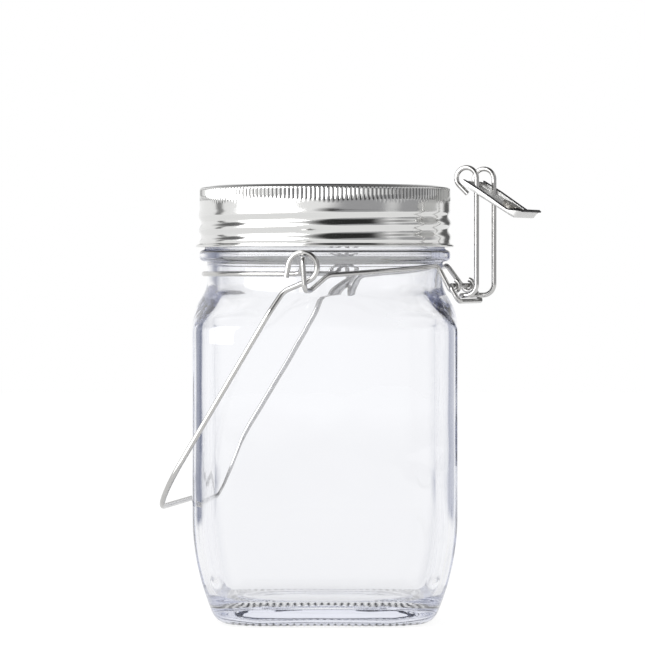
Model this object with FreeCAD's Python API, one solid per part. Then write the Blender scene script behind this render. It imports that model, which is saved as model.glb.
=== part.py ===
import FreeCAD
import Part
import math
import os

# A lantern made from a preserving jar. The jar stands on the XY plane with its axis on Z,
# the handle hangs to -X and the clip stands at +X. All sizes are millimetres and degrees.

V = FreeCAD.Vector
UP = V(0, 0, 1)
SHORTEST_RUN = 0.001

# Glass jar
BODY_WIDTH = 109.0
CORNER_RADIUS = 22.0
SIDE_BOW = 4.0
WALL = 3.4
BASE_THICKNESS = 8.0
TAPER_TOP = 44.0
TAPER_RADIUS = 106.0
HEEL_RADIUS = 7.2
INNER_HEEL_RADIUS = 9.0
PUSH_UP_RADIUS = 32.0
PUSH_UP_DEPTH = 2.5
SHOULDER_RADIUS = 25.4
HOLLOW_RADIUS = 12.75
JAR_HEIGHT = 168.5
NECK_HEIGHT = 29.5
NECK_RADIUS = 48.2
BEAD_RISE = 7.3
BEAD_HEIGHT = 4.8
BEAD_REACH = 3.2
BEAD_ROUND = 1.6
FINISH_REACH = 1.0
RIM_ROUND = 1.2
LOFT_STEPS = 4

# Screw band, seal and window, stacked on the rim of the glass
SEAL_THICKNESS = 2.0
SEAL_OVERHANG = 0.3
FLANGE_THICKNESS = 2.4
WINDOW_THICKNESS = 3.0
LID_PLAY = 0.1
BAND_GAUGE = 0.6
THREAD_CLEARANCE = 0.5
BAND_HEIGHT = 24.6
OPENING_REACH = 0.2
BAND_EDGE_ROUND = 1.8
GROOVE_DEPTHS = (13.3, 19.7)
GROOVE_HALF_HEIGHT = 2.2
GROOVE_DEPTH = 1.0
HEM_ROLL = 0.9

# Solar module
FLANGE_PLAY = 1.3
WINDOW_PLAY = 1.9
CUP_CLEARANCE = 1.6
CUP_WALL = 1.8
CUP_DEPTH = 17.1
LEDGE_WIDTH = 2.9
LEDGE_HEIGHT = 1.2
BOARD_DROP = 3.3
BOARD_PLAY = 0.5
SOLAR_BOARD_THICKNESS = 1.6
CELL_EDGE = 3.07
CELL_GAP = 1.5
CELL_THICKNESS = 0.5
LED_BOARD_GAP = 1.98
LED_BOARD_PLAY = 1.4
LED_BOARD_THICKNESS = 1.2
LED_COUNT = 4
LED_RADIUS = 2.5
LED_HOLE_PLAY = 0.2
LED_COLLAR = 0.6
BATTERY_DIAMETER = 10.2
BATTERY_LENGTH = 44.0
BATTERY_TIP_RADIUS = 1.9
BATTERY_TIP_LENGTH = 0.8
BATTERY_SPACING = 0.6
BATTERY_PLAY = 0.35
CONTACT_THICKNESS = 0.4
CONTACT_WIDTH = 8.0
BAY_WALL = 1.2
BAY_WALL_HEIGHT = 8.0
COVER_THICKNESS = 1.3
COVER_LAP = 4.6
COVER_SIDE_LAP = 1.8
SCREW_SHANK_RADIUS = 0.9
SCREW_HEAD_RADIUS = 1.7
SCREW_HEAD_HEIGHT = 0.8
SCREW_SLOT_WIDTH = 0.5
SCREW_SLOT_DEPTH = 0.4
SCREW_PLAY = 0.15
PIN_COUNT = 4
PIN_PITCH = 2.54
PIN_SIDE = 0.64
PIN_SHARE = 0.58
CHIP_LENGTH = 9.0
CHIP_WIDTH = 6.0
CHIP_HEIGHT = 1.6
CHIP_PLACE = V(-14.0, 18.0, 0)
REED_RADIUS = 1.1
REED_LENGTH = 14.0
REED_EDGE = 1.4

# Wire work
NECK_GAUGE = 2.0
NECK_GAP = 0.3
HANDLE_GAUGE = 2.2
CLIP_GAUGE = 2.0
WIRE_GAP = 0.3
RING_RISE = 2.2
STRAND_RISE = 1.8
HOOK_STRAND_RISE = 5.6
RING_STEPS = 7
STRAND_STEPS = 4
ARC_SHARE = 0.98
NECK_BEND = 2.6
RING_LEAD = 15.0
LEAD_SHARE = 0.6

# Handle, given as it hangs straight down from the eyelets
HANDLE_TURN = -9.0
REST_GAP = 0.38
SIDE_GAP = 1.98
EYELET_RISE = 8.3
EYELET_DROP = 4.4
EYELET_REACH = 4.5
EYELET_WIDTH = 6.4
EYELET_FOOT_REACH = 2.1
EYELET_TIP_BEND = 2.4
EYELET_PITCH = 0.9
STRAND_START = 9.0
HOOK_INSET = 2.6
HOOK_RADIUS = 5.8
HOOK_BEND_DROP = 15.0
HOOK_SWEEP_END = 200.0
HOOK_TAIL = 5.2
HOOK_CENTRE_TURN = 30.0
HOOK_BEND = 6.0
LEG_STEP_DROP = 26.0
LEG_BEND = 12.0
HANDLE_LENGTH = 116.0
BOW_RADIUS = 22.0

# Clip, given in its own frame: X away from the jar, Y along the hinge
CLIP_TURN = -18.0
CLIP_SHIFT = 5.0
RING_STANDOFF = 2.1
RING_TOP_DROP = 2.5
RING_SPLAY = 3.8
RING_DROP = 6.3
RING_HALF_WIDTH = 16.5
RING_BEND = 2.2
RING_JOINT_GAP = 0.2
HOOK_HALF_SPACING = 10.5
CLIP_HOOK_SWEEP = 210.0
CLIP_HOOK_TAIL = 0.6
LINK_HALF_WIDTH = 13.0
LINK_STANDOFF = 6.4
LINK_BAR_SETBACK = 0.5
LINK_FOOT_BEND = 4.6
LINK_BAR_BEND = 2.5
LINK_EYE_RADIUS = 4.2
LINK_EYE_RISE = 3.3
LINK_EYE_SWEEP = 225.0
LINK_TAIL = 4.8
PLATE_DROOP = 31.5
PLATE_GAUGE = 0.6
PLATE_LENGTH = 25.0
NOSE_MARGIN = 0.9
FLANGE_MARGIN = 0.5
FLARE_START = 14.0
FLARE_RISE = 1.6
LIP_REACH = 1.4
PIN_RADIUS = 0.9
PIN_PLAY = 0.05
MAGNET_RADIUS = 4.5
MAGNET_HEIGHT = 2.0
MAGNET_REACH = 18.5

# Levels and radii of the jar that follow from the ones above
HALF_BODY = BODY_WIDTH / 2
NECK_BOTTOM = JAR_HEIGHT - NECK_HEIGHT
SHOULDER_SPAN = SHOULDER_RADIUS + HOLLOW_RADIUS
SHOULDER_LEAN = math.acos(1 - (HALF_BODY - NECK_RADIUS) / SHOULDER_SPAN)
SHOULDER_BOTTOM = NECK_BOTTOM - SHOULDER_SPAN * math.sin(SHOULDER_LEAN)
BEAD_BOTTOM = NECK_BOTTOM + BEAD_RISE
BEAD_RADIUS = NECK_RADIUS + BEAD_REACH
FINISH_RADIUS = NECK_RADIUS + FINISH_REACH
BORE_RADIUS = NECK_RADIUS - WALL

# The lid and the module in the mouth
BAND_RADIUS = FINISH_RADIUS + THREAD_CLEARANCE + GROOVE_DEPTH + BAND_GAUGE
BAND_OPENING = BORE_RADIUS + OPENING_REACH
SEAL_TOP = JAR_HEIGHT + SEAL_THICKNESS
FLANGE_TOP = SEAL_TOP + FLANGE_THICKNESS
WINDOW_TOP = FLANGE_TOP + WINDOW_THICKNESS
LID_TOP = WINDOW_TOP + LID_PLAY + BAND_GAUGE
HEM_LEVEL = LID_TOP - BAND_HEIGHT
CUP_RADIUS = BORE_RADIUS - CUP_CLEARANCE
CUP_INNER = CUP_RADIUS - CUP_WALL
CUP_BOTTOM = SEAL_TOP - CUP_DEPTH
CUP_FLOOR = CUP_BOTTOM + CUP_WALL
LEDGE_INNER = CUP_INNER - LEDGE_WIDTH
BOARD_LEVEL = FLANGE_TOP - BOARD_DROP
BOARD_RADIUS = CUP_INNER - BOARD_PLAY
CELL_SIDE = (BOARD_RADIUS - CELL_EDGE) * math.sqrt(0.5) - CELL_GAP / 2
BATTERY_PITCH = BATTERY_DIAMETER + BATTERY_SPACING
BAY_HALF_LENGTH = BATTERY_LENGTH / 2 + BATTERY_TIP_LENGTH + BATTERY_PLAY + CONTACT_THICKNESS
BAY_HALF_WIDTH = (BATTERY_PITCH + BATTERY_DIAMETER) / 2 + BATTERY_PLAY
BATTERY_LEVEL = CUP_BOTTOM + BATTERY_DIAMETER / 2
LED_BOARD_INNER = math.hypot(BAY_HALF_LENGTH + BAY_WALL, BAY_HALF_WIDTH) + LED_BOARD_GAP
LED_BOARD_OUTER = CUP_INNER - LED_BOARD_PLAY
LED_CIRCLE = (LED_BOARD_INNER + LED_BOARD_OUTER) / 2
PIN_REACH = LED_BOARD_INNER + (LEDGE_INNER - LED_BOARD_INNER) * PIN_SHARE
REED_CORNER = CLIP_SHIFT + REED_LENGTH / 2
REED_REACH = math.sqrt((LEDGE_INNER - REED_EDGE) ** 2 - REED_CORNER ** 2) - REED_RADIUS
SCREW_REACH = BAY_HALF_LENGTH + BAY_WALL + COVER_LAP / 2

# The neck wire, and the handle that rests against the widest point of the body on its side
NECK_RING_RADIUS = NECK_RADIUS + NECK_GAP + NECK_GAUGE / 2
RING_LEVEL = NECK_BOTTOM + RING_RISE
STRAND_LEVEL = NECK_BOTTOM + STRAND_RISE
HOOK_STRAND_LEVEL = NECK_BOTTOM + HOOK_STRAND_RISE
EYELET_TOP = NECK_BOTTOM + EYELET_RISE
EYELET_BOTTOM = NECK_BOTTOM - EYELET_DROP
EYELET_FOOT = NECK_RING_RADIUS + EYELET_FOOT_REACH
EYELET_INNER = NECK_RING_RADIUS + EYELET_REACH
EYELET_OUTER = EYELET_INNER + EYELET_WIDTH
HOOK_PLANE = EYELET_INNER + HOOK_INSET
HOOK_OFFSET = HOOK_RADIUS - (HANDLE_GAUGE + NECK_GAUGE) / 2 - WIRE_GAP
BOW = math.radians(SIDE_BOW)
BOW_SHARE = math.cos(BOW) - math.sin(BOW)
CORNER_HUB = (HALF_BODY - CORNER_RADIUS) / (1 - BOW_SHARE) * math.sin(BOW)
TURN = math.radians(abs(HANDLE_TURN))
BODY_REACH = CORNER_HUB * (math.cos(TURN) + math.sin(TURN)) + CORNER_RADIUS
HANDLE_HALF_WIDTH = BODY_REACH + SIDE_GAP + HANDLE_GAUGE / 2
HANDLE_REST = BODY_REACH + REST_GAP + HANDLE_GAUGE / 2
HANDLE_LEAN = math.degrees(math.asin(HANDLE_REST / HANDLE_LENGTH))

# The clip
RING_TOP_REACH = HALF_BODY + RING_STANDOFF
RING_TOP_LEVEL = NECK_BOTTOM - RING_TOP_DROP
RING_FOOT_REACH = RING_TOP_REACH + RING_SPLAY
RING_FOOT_LEVEL = RING_TOP_LEVEL - RING_DROP
LINK_LEG_REACH = RING_FOOT_REACH + LINK_STANDOFF
LINK_BAR_REACH = RING_FOOT_REACH - LINK_BAR_SETBACK
LINK_BAR_LEVEL = RING_FOOT_LEVEL + CLIP_GAUGE + WIRE_GAP
LINK_EYE_REACH = LINK_LEG_REACH - LINK_EYE_RADIUS
LINK_EYE_LEVEL = LID_TOP + LINK_EYE_RISE
PIN_LEVEL = LINK_EYE_LEVEL - (LINK_EYE_RADIUS - CLIP_GAUGE / 2 - PIN_RADIUS - WIRE_GAP)
FLANGE_INSIDE = LINK_HALF_WIDTH + CLIP_GAUGE / 2 + WIRE_GAP
FLOOR_TOP = -PIN_RADIUS - PIN_PLAY
FLANGE_RISE = PIN_RADIUS + FLANGE_MARGIN
PLATE_NOSE = PIN_RADIUS + NOSE_MARGIN


def polar(radius, angle, level):
    """Point at a radius and an angle in degrees round the jar's axis."""
    turn = math.radians(angle)
    return V(radius * math.cos(turn), radius * math.sin(turn), level)


def unit(vector):
    return vector * (1 / vector.Length)


def box(low, high):
    """Box between two opposite corners."""
    size = high - low
    return Part.makeBox(size.x, size.y, size.z, low)


def disc(radius, low, high, x=0.0, y=0.0):
    """Upright cylinder between two levels."""
    return Part.makeCylinder(radius, high - low, V(x, y, low))


def spun(edges):
    """Solid turned round the jar's axis from a closed profile in the XZ plane."""
    return Part.Face(Part.Wire(edges)).revolve(V(0, 0, 0), UP, 360)


def prism(points, width):
    """Flat profile in the XZ plane, extruded evenly to both sides along Y."""
    outline = [point - V(0, width / 2, 0) for point in points]
    return Part.Face(Part.makePolygon(outline + outline[:1])).extrude(V(0, width, 0))


def arc(first, middle, last):
    return Part.Arc(first, middle, last).toShape()


def save(name, shapes):
    """Write one named piece, made of one or more separate solids."""
    if len(shapes) == 1:
        shapes[0].exportStep(f"parts/{name}.step")
    else:
        Part.makeCompound(shapes).exportStep(f"parts/{name}.step")


def bent_wire(points, bends, gauge):
    """Round wire along straight runs joined by tangent bends, one bend for each inner point."""
    edges = []
    start = points[0]
    for before, corner, after, bend in zip(points, points[1:], points[2:], bends):
        into = unit(corner - before)
        out = unit(after - corner)
        half_turn = into.getAngle(out) / 2
        reach = bend * math.tan(half_turn)
        inward = unit(out - into)
        middle = corner + inward * (bend / math.cos(half_turn) - bend)
        first = corner - into * reach
        last = corner + out * reach
        if (first - start).Length > SHORTEST_RUN:
            edges.append(Part.makeLine(start, first))
        else:
            first = start
        edges.append(arc(first, middle, last))
        start = last
    edges.append(Part.makeLine(start, points[-1]))
    section = Part.Wire(Part.makeCircle(gauge / 2, points[0], points[1] - points[0]))
    return Part.Wire(edges).makePipeShell([section], True, False)


def round_bend(centre, radius, start, sweep, steps):
    """Corner points whose tangent bends follow a circle in the XZ plane from one angle on."""
    step = math.radians(sweep) / steps
    reach = radius / math.cos(step / 2)
    points = []
    for index in range(steps):
        angle = math.radians(start) + step * (index + 0.5)
        points.append(centre + V(reach * math.cos(angle), 0, reach * math.sin(angle)))
    return points


def on_circle(centre, radius, angle):
    turn = math.radians(angle)
    return centre + V(radius * math.cos(turn), 0, radius * math.sin(turn))


def heading(angle):
    """Direction of travel at an angle on a circle followed towards larger angles."""
    turn = math.radians(angle)
    return V(-math.sin(turn), 0, math.cos(turn))


# Glass jar


def soft_square(half, corner, bow, level):
    """Outline with four bowed sides and four round corners, tangent all round."""
    lean = math.radians(bow)
    share = math.cos(lean) - math.sin(lean)
    side = (half - corner * share) / (1 - share)
    hub = side - corner
    edges = []
    for quarter in range(4):
        turn = 90 * quarter
        side_hub = polar(half - side, turn, level)
        corner_hub = side_hub + polar(hub, turn + bow, 0)
        spans = (side_hub, side, -bow, bow), (corner_hub, corner, bow, 90 - bow)
        for centre, radius, first, last in spans:
            angles = turn + first, turn + (first + last) / 2, turn + last
            edges.append(arc(*[centre + polar(radius, angle, 0) for angle in angles]))
    return Part.Wire(edges)


def taper(level, inset):
    """Outline of the body below the straight sides."""
    drop = TAPER_TOP - level
    half = HALF_BODY - TAPER_RADIUS + math.sqrt(TAPER_RADIUS ** 2 - drop ** 2)
    return soft_square(half - inset, CORNER_RADIUS - inset, SIDE_BOW, level)


def shoulder_outlines(inset):
    """Outlines from the straight sides, over the shoulder, to the round neck."""
    stations = []
    for index in range(LOFT_STEPS + 1):
        turn = SHOULDER_LEAN * index / LOFT_STEPS
        fall = SHOULDER_RADIUS * (1 - math.cos(turn))
        stations.append((HALF_BODY - fall, SHOULDER_BOTTOM + SHOULDER_RADIUS * math.sin(turn)))
    for index in reversed(range(LOFT_STEPS)):
        turn = SHOULDER_LEAN * index / LOFT_STEPS
        fall = HOLLOW_RADIUS * (1 - math.cos(turn))
        stations.append((NECK_RADIUS + fall, NECK_BOTTOM - HOLLOW_RADIUS * math.sin(turn)))
    outlines = []
    for half, level in stations:
        share = (level - SHOULDER_BOTTOM) / (NECK_BOTTOM - SHOULDER_BOTTOM)
        ease = share * share * (3 - 2 * share)
        corner = CORNER_RADIUS + (half - CORNER_RADIUS) * ease
        bow = SIDE_BOW + (22.5 - SIDE_BOW) * ease
        outlines.append(soft_square(half - inset, corner - inset, bow, level))
    return outlines


def body_form(inset, floor, heel):
    """Solid form of the jar from a floor level to the foot of the neck, drawn in by an inset."""
    drops = [TAPER_TOP - (TAPER_TOP - floor) * index / LOFT_STEPS for index in range(LOFT_STEPS + 1)]
    foot = Part.makeLoft([taper(level, inset) for level in drops], True)
    heel_edges = [edge for edge in foot.Edges if edge.BoundBox.ZMax < floor + SHORTEST_RUN]
    foot = foot.makeFillet(heel, heel_edges)
    side = Part.Face(taper(TAPER_TOP, inset)).extrude(V(0, 0, SHOULDER_BOTTOM - TAPER_TOP))
    shoulder = Part.makeLoft(shoulder_outlines(inset), True)
    return foot.fuse([side, shoulder])


def glass_jar():
    bead_top = BEAD_BOTTOM + BEAD_HEIGHT
    cut = BEAD_ROUND * (1 - math.sqrt(0.5))
    rim_cut = RIM_ROUND * (1 - math.sqrt(0.5))
    corners = [
        V(0, 0, NECK_BOTTOM),
        V(NECK_RADIUS, 0, NECK_BOTTOM),
        V(NECK_RADIUS, 0, BEAD_BOTTOM),
        V(BEAD_RADIUS - BEAD_ROUND, 0, BEAD_BOTTOM),
        V(BEAD_RADIUS, 0, BEAD_BOTTOM + BEAD_ROUND),
        V(BEAD_RADIUS, 0, bead_top - BEAD_ROUND),
        V(BEAD_RADIUS - BEAD_ROUND, 0, bead_top),
        V(FINISH_RADIUS, 0, bead_top),
        V(FINISH_RADIUS, 0, JAR_HEIGHT - RIM_ROUND),
        V(FINISH_RADIUS - RIM_ROUND, 0, JAR_HEIGHT),
        V(0, 0, JAR_HEIGHT),
    ]
    rounds = {
        3: V(BEAD_RADIUS - cut, 0, BEAD_BOTTOM + cut),
        5: V(BEAD_RADIUS - cut, 0, bead_top - cut),
        8: V(FINISH_RADIUS - rim_cut, 0, JAR_HEIGHT - rim_cut),
    }
    edges = []
    for index, corner in enumerate(corners):
        following = corners[(index + 1) % len(corners)]
        if index in rounds:
            edges.append(arc(corner, rounds[index], following))
        else:
            edges.append(Part.makeLine(corner, following))
    outside = body_form(0, 0, HEEL_RADIUS).fuse(spun(edges))
    bore = disc(BORE_RADIUS, NECK_BOTTOM, JAR_HEIGHT)
    inside = body_form(WALL, BASE_THICKNESS, INNER_HEEL_RADIUS).fuse(bore)
    dome_radius = (PUSH_UP_RADIUS ** 2 + PUSH_UP_DEPTH ** 2) / (2 * PUSH_UP_DEPTH)
    push_up = Part.makeSphere(dome_radius, V(0, 0, PUSH_UP_DEPTH - dome_radius))
    return outside.cut(inside).cut(push_up).removeSplitter()


# Screw band, seal and solar module


def band_form(inset):
    """Solid under the band's surface: a drum with a rounded edge and rolled thread grooves."""
    radius = BAND_RADIUS - inset
    top = LID_TOP - inset
    edge = BAND_EDGE_ROUND - inset
    cut = edge * (1 - math.sqrt(0.5))
    edges = [
        Part.makeLine(V(0, 0, HEM_LEVEL), V(0, 0, top)),
        Part.makeLine(V(0, 0, top), V(radius - edge, 0, top)),
        arc(V(radius - edge, 0, top), V(radius - cut, 0, top - cut), V(radius, 0, top - edge)),
    ]
    start = V(radius, 0, top - edge)
    for depth in GROOVE_DEPTHS:
        upper = V(radius, 0, LID_TOP - depth + GROOVE_HALF_HEIGHT)
        lower = V(radius, 0, LID_TOP - depth - GROOVE_HALF_HEIGHT)
        edges.append(Part.makeLine(start, upper))
        edges.append(arc(upper, V(radius - GROOVE_DEPTH, 0, LID_TOP - depth), lower))
        start = lower
    foot = V(radius, 0, HEM_LEVEL)
    edges.append(Part.makeLine(start, foot))
    edges.append(Part.makeLine(foot, V(0, 0, HEM_LEVEL)))
    return spun(edges)


def screw_band():
    hem = Part.makeTorus(BAND_RADIUS - BAND_GAUGE / 2, HEM_ROLL, V(0, 0, HEM_LEVEL + HEM_ROLL))
    opening = disc(BAND_OPENING, WINDOW_TOP, LID_TOP + 1)
    shell = band_form(0).cut(band_form(BAND_GAUGE)).cut(opening)
    return shell.fuse(hem).removeSplitter()


def seal_ring():
    inner = BORE_RADIUS + SEAL_OVERHANG
    outer = FINISH_RADIUS - SEAL_OVERHANG
    return disc(outer, JAR_HEIGHT, SEAL_TOP).cut(disc(inner, JAR_HEIGHT, SEAL_TOP))


def led_places():
    return [polar(LED_CIRCLE, 360 / LED_COUNT * (index + 0.5), 0) for index in range(LED_COUNT)]


def screw_places():
    return [V(side * SCREW_REACH, 0, 0) for side in (-1, 1)]


def module_housing():
    flange = disc(BAND_RADIUS - BAND_GAUGE - FLANGE_PLAY, SEAL_TOP, FLANGE_TOP)
    cup = disc(CUP_RADIUS, CUP_BOTTOM, FLANGE_TOP)
    ledge = disc(CUP_INNER, BOARD_LEVEL - LEDGE_HEIGHT, BOARD_LEVEL)
    ledge = ledge.cut(disc(LEDGE_INNER, BOARD_LEVEL - LEDGE_HEIGHT, BOARD_LEVEL))
    housing = flange.fuse(cup).cut(disc(CUP_INNER, CUP_FLOOR, FLANGE_TOP)).fuse(ledge)
    hatch = V(BAY_HALF_LENGTH, BAY_HALF_WIDTH, CUP_BOTTOM)
    housing = housing.cut(box(V(-hatch.x, -hatch.y, CUP_BOTTOM), V(hatch.x, hatch.y, CUP_FLOOR)))
    for side in (-1, 1):
        near = side * BAY_HALF_LENGTH
        far = side * (BAY_HALF_LENGTH + BAY_WALL)
        low = V(min(near, far), -BAY_HALF_WIDTH, CUP_FLOOR)
        high = V(max(near, far), BAY_HALF_WIDTH, CUP_FLOOR + BAY_WALL_HEIGHT)
        housing = housing.fuse(box(low, high))
    holes = [disc(LED_RADIUS + LED_HOLE_PLAY, CUP_BOTTOM, CUP_FLOOR, p.x, p.y) for p in led_places()]
    pilot = SCREW_SHANK_RADIUS + SCREW_PLAY
    holes += [disc(pilot, CUP_BOTTOM, CUP_FLOOR, p.x, p.y) for p in screw_places()]
    return housing.cut(Part.makeCompound(holes)).removeSplitter()


def panel_window():
    return disc(BAND_RADIUS - BAND_GAUGE - WINDOW_PLAY, FLANGE_TOP, WINDOW_TOP)


def solar_board():
    return disc(BOARD_RADIUS, BOARD_LEVEL, BOARD_LEVEL + SOLAR_BOARD_THICKNESS)


def solar_cells():
    level = BOARD_LEVEL + SOLAR_BOARD_THICKNESS
    cells = []
    for x in (-1, 1):
        for y in (-1, 1):
            middle = V(x, y, 0) * ((CELL_SIDE + CELL_GAP) / 2)
            half = V(CELL_SIDE / 2, CELL_SIDE / 2, 0)
            low = middle - half + V(0, 0, level)
            cells.append(box(low, middle + half + V(0, 0, level + CELL_THICKNESS)))
    return cells


def led_board():
    top = CUP_FLOOR + LED_BOARD_THICKNESS
    return disc(LED_BOARD_OUTER, CUP_FLOOR, top).cut(disc(LED_BOARD_INNER, CUP_FLOOR, top))


def leds():
    lamps = []
    for place in led_places():
        collar = disc(LED_RADIUS, CUP_FLOOR - LED_COLLAR, CUP_FLOOR, place.x, place.y)
        dome = Part.makeSphere(LED_RADIUS, V(place.x, place.y, CUP_FLOOR - LED_COLLAR), -UP, 0, 90)
        lamps.append(collar.fuse(dome).removeSplitter())
    return lamps


def board_pins():
    low = CUP_FLOOR + LED_BOARD_THICKNESS
    pins = []
    for index in range(PIN_COUNT):
        x = PIN_PITCH * (index - (PIN_COUNT - 1) / 2)
        half = PIN_SIDE / 2
        corner = V(x - half, PIN_REACH - half, low)
        pins.append(box(corner, V(x + half, PIN_REACH + half, BOARD_LEVEL)))
    return pins


def driver_chip():
    half = V(CHIP_LENGTH / 2, CHIP_WIDTH / 2, 0)
    low = CHIP_PLACE - half + V(0, 0, BOARD_LEVEL - CHIP_HEIGHT)
    chip = box(low, CHIP_PLACE + half + V(0, 0, BOARD_LEVEL))
    upright = [edge for edge in chip.Edges if edge.BoundBox.ZLength > SHORTEST_RUN]
    return chip.makeChamfer(CHIP_HEIGHT / 4, upright)


def reed_switch():
    """Sealed glass tube lying under the upper board, along the clip's hinge."""
    level = BOARD_LEVEL - REED_RADIUS
    middle = V(REED_REACH, CLIP_SHIFT, level)
    straight = REED_LENGTH - 2 * REED_RADIUS
    ends = [middle + V(0, side * straight / 2, 0) for side in (-1, 1)]
    tube = Part.makeCylinder(REED_RADIUS, straight, ends[0], V(0, 1, 0))
    tube = tube.fuse([Part.makeSphere(REED_RADIUS, end) for end in ends])
    return in_clip_frame(tube.removeSplitter())


def battery_cells():
    cells = []
    for side in (-1, 1):
        y = side * BATTERY_PITCH / 2
        foot = V(-side * BATTERY_LENGTH / 2, y, BATTERY_LEVEL)
        along = V(side, 0, 0)
        can = Part.makeCylinder(BATTERY_DIAMETER / 2, BATTERY_LENGTH, foot, along)
        head = foot + along * BATTERY_LENGTH
        tip = Part.makeCylinder(BATTERY_TIP_RADIUS, BATTERY_TIP_LENGTH, head, along)
        cells.append(can.fuse(tip).removeSplitter())
    return cells


def battery_contacts():
    blades = []
    for end in (-1, 1):
        for side in (-1, 1):
            outer = end * BAY_HALF_LENGTH
            inner = end * (BAY_HALF_LENGTH - CONTACT_THICKNESS)
            y = side * BATTERY_PITCH / 2
            low = V(min(outer, inner), y - CONTACT_WIDTH / 2, CUP_FLOOR)
            high = V(max(outer, inner), y + CONTACT_WIDTH / 2, CUP_FLOOR + CONTACT_WIDTH)
            blades.append(box(low, high))
    return blades


def battery_cover():
    half = V(BAY_HALF_LENGTH + BAY_WALL + COVER_LAP, BAY_HALF_WIDTH + COVER_SIDE_LAP, 0)
    low = CUP_BOTTOM - COVER_THICKNESS
    cover = box(V(-half.x, -half.y, low), V(half.x, half.y, CUP_BOTTOM))
    upright = [edge for edge in cover.Edges if edge.BoundBox.ZLength > SHORTEST_RUN]
    cover = cover.makeFillet(COVER_SIDE_LAP, upright)
    for place in screw_places():
        shank = disc(SCREW_SHANK_RADIUS + SCREW_PLAY, low, CUP_BOTTOM, place.x, place.y)
        head_top = low + SCREW_HEAD_HEIGHT
        head = disc(SCREW_HEAD_RADIUS + SCREW_PLAY, low, head_top, place.x, place.y)
        cover = cover.cut(shank.fuse(head))
    return cover


def cover_screws():
    low = CUP_BOTTOM - COVER_THICKNESS
    screws = []
    for place in screw_places():
        head = disc(SCREW_HEAD_RADIUS, low, low + SCREW_HEAD_HEIGHT, place.x, place.y)
        shank = disc(SCREW_SHANK_RADIUS, low, CUP_FLOOR, place.x, place.y)
        half = V(SCREW_SLOT_WIDTH / 2, SCREW_HEAD_RADIUS, 0)
        floor = V(place.x, place.y, low)
        slot = box(floor - half, floor + half + V(0, 0, SCREW_SLOT_DEPTH))
        screws.append(head.fuse(shank).removeSplitter().cut(slot))
    return screws


# Neck wire and handle


def in_handle_frame(point):
    """Place a point given with X across the handle and Y along its hinge."""
    return FreeCAD.Rotation(UP, HANDLE_TURN).multVec(point)


def neck_corners(first, last, first_level, last_level, steps):
    """Corner points whose tangent bends follow the neck between two angles."""
    reach = NECK_RING_RADIUS / math.cos(math.radians(last - first) / steps / 2)
    corners = []
    for index in range(steps + 1):
        share = index / steps
        level = first_level + (last_level - first_level) * share
        corners.append(polar(reach, first + (last - first) * share, level))
    return corners


def eyelet(side):
    """Corner points and bends of one handle eyelet, from the clip's side to the far side."""
    inner = EYELET_PITCH * (EYELET_INNER - HOOK_PLANE) / (EYELET_OUTER - EYELET_INNER)
    outer = inner + EYELET_PITCH
    corners = [
        V(outer + 2 * EYELET_PITCH, side * EYELET_FOOT, EYELET_BOTTOM),
        V(outer + EYELET_PITCH, side * EYELET_OUTER, EYELET_BOTTOM),
        V(outer, side * EYELET_OUTER, EYELET_TOP),
        V(inner, side * EYELET_INNER, EYELET_TOP),
        V(inner - 2 * EYELET_PITCH, side * NECK_RING_RADIUS, RING_LEVEL),
    ]
    return [in_handle_frame(corner) for corner in corners]


def clip_hook(side):
    """Corner points of the hook that holds the ring's top bar, from its tail to the neck."""
    radius = (CLIP_GAUGE + NECK_GAUGE) / 2 + WIRE_GAP
    across = CLIP_SHIFT + side * HOOK_HALF_SPACING
    centre = V(RING_TOP_REACH, across, RING_TOP_LEVEL)
    neck = V(math.sqrt(NECK_RING_RADIUS ** 2 - across ** 2), across, HOOK_STRAND_LEVEL)
    gap = centre - neck
    run_angle = math.atan2(gap.z, gap.x) - math.asin(radius / gap.Length)
    first = math.degrees(run_angle) - 90
    last = first + CLIP_HOOK_SWEEP
    bends = round_bend(centre, radius, first, CLIP_HOOK_SWEEP, 3)
    tail = on_circle(centre, radius, last) + heading(last) * CLIP_HOOK_TAIL
    hook = [tail] + bends[::-1]
    angle = CLIP_TURN + math.degrees(math.asin(across / NECK_RING_RADIUS))
    return [in_clip_point(point) for point in hook], angle, radius


def neck_wire():
    points = []
    bends = []
    arc_bend = NECK_RING_RADIUS * ARC_SHARE
    strand_turn = math.degrees(math.asin(STRAND_START / NECK_RING_RADIUS))
    for side in (-1, 1):
        hook, hook_angle, hook_radius = clip_hook(side)
        eyelet_angle = HANDLE_TURN + side * (90 - strand_turn)
        strand = neck_corners(hook_angle, eyelet_angle, HOOK_STRAND_LEVEL, STRAND_LEVEL, STRAND_STEPS)
        half = hook + strand + eyelet(side)
        half_bends = [hook_radius] * (len(hook) - 1) + [NECK_BEND]
        half_bends += [arc_bend] * (len(strand) - 2) + [2 * NECK_BEND]
        half_bends += [EYELET_TIP_BEND] * 4 + [NECK_BEND]
        if side < 0:
            points += half
            bends += half_bends
            first = HANDLE_TURN - 90 - RING_LEAD
            last = HANDLE_TURN - 270 + RING_LEAD
            ring = neck_corners(first, last, RING_LEVEL, RING_LEVEL, RING_STEPS)
            points += ring
            lead_bend = arc_bend * LEAD_SHARE
            bends += [lead_bend] + [arc_bend] * (len(ring) - 2) + [lead_bend]
        else:
            points += half[::-1]
            bends += half_bends[::-1]
    return bent_wire(points, bends, NECK_GAUGE)


def handle_point(across, along, drop):
    """Place a point of the handle: across its leg, along its hinge and down its leg."""
    lean = math.radians(HANDLE_LEAN)
    x = across * math.cos(lean) - drop * math.sin(lean)
    z = -across * math.sin(lean) - drop * math.cos(lean)
    return in_handle_frame(V(x, along, EYELET_TOP + z))


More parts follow.
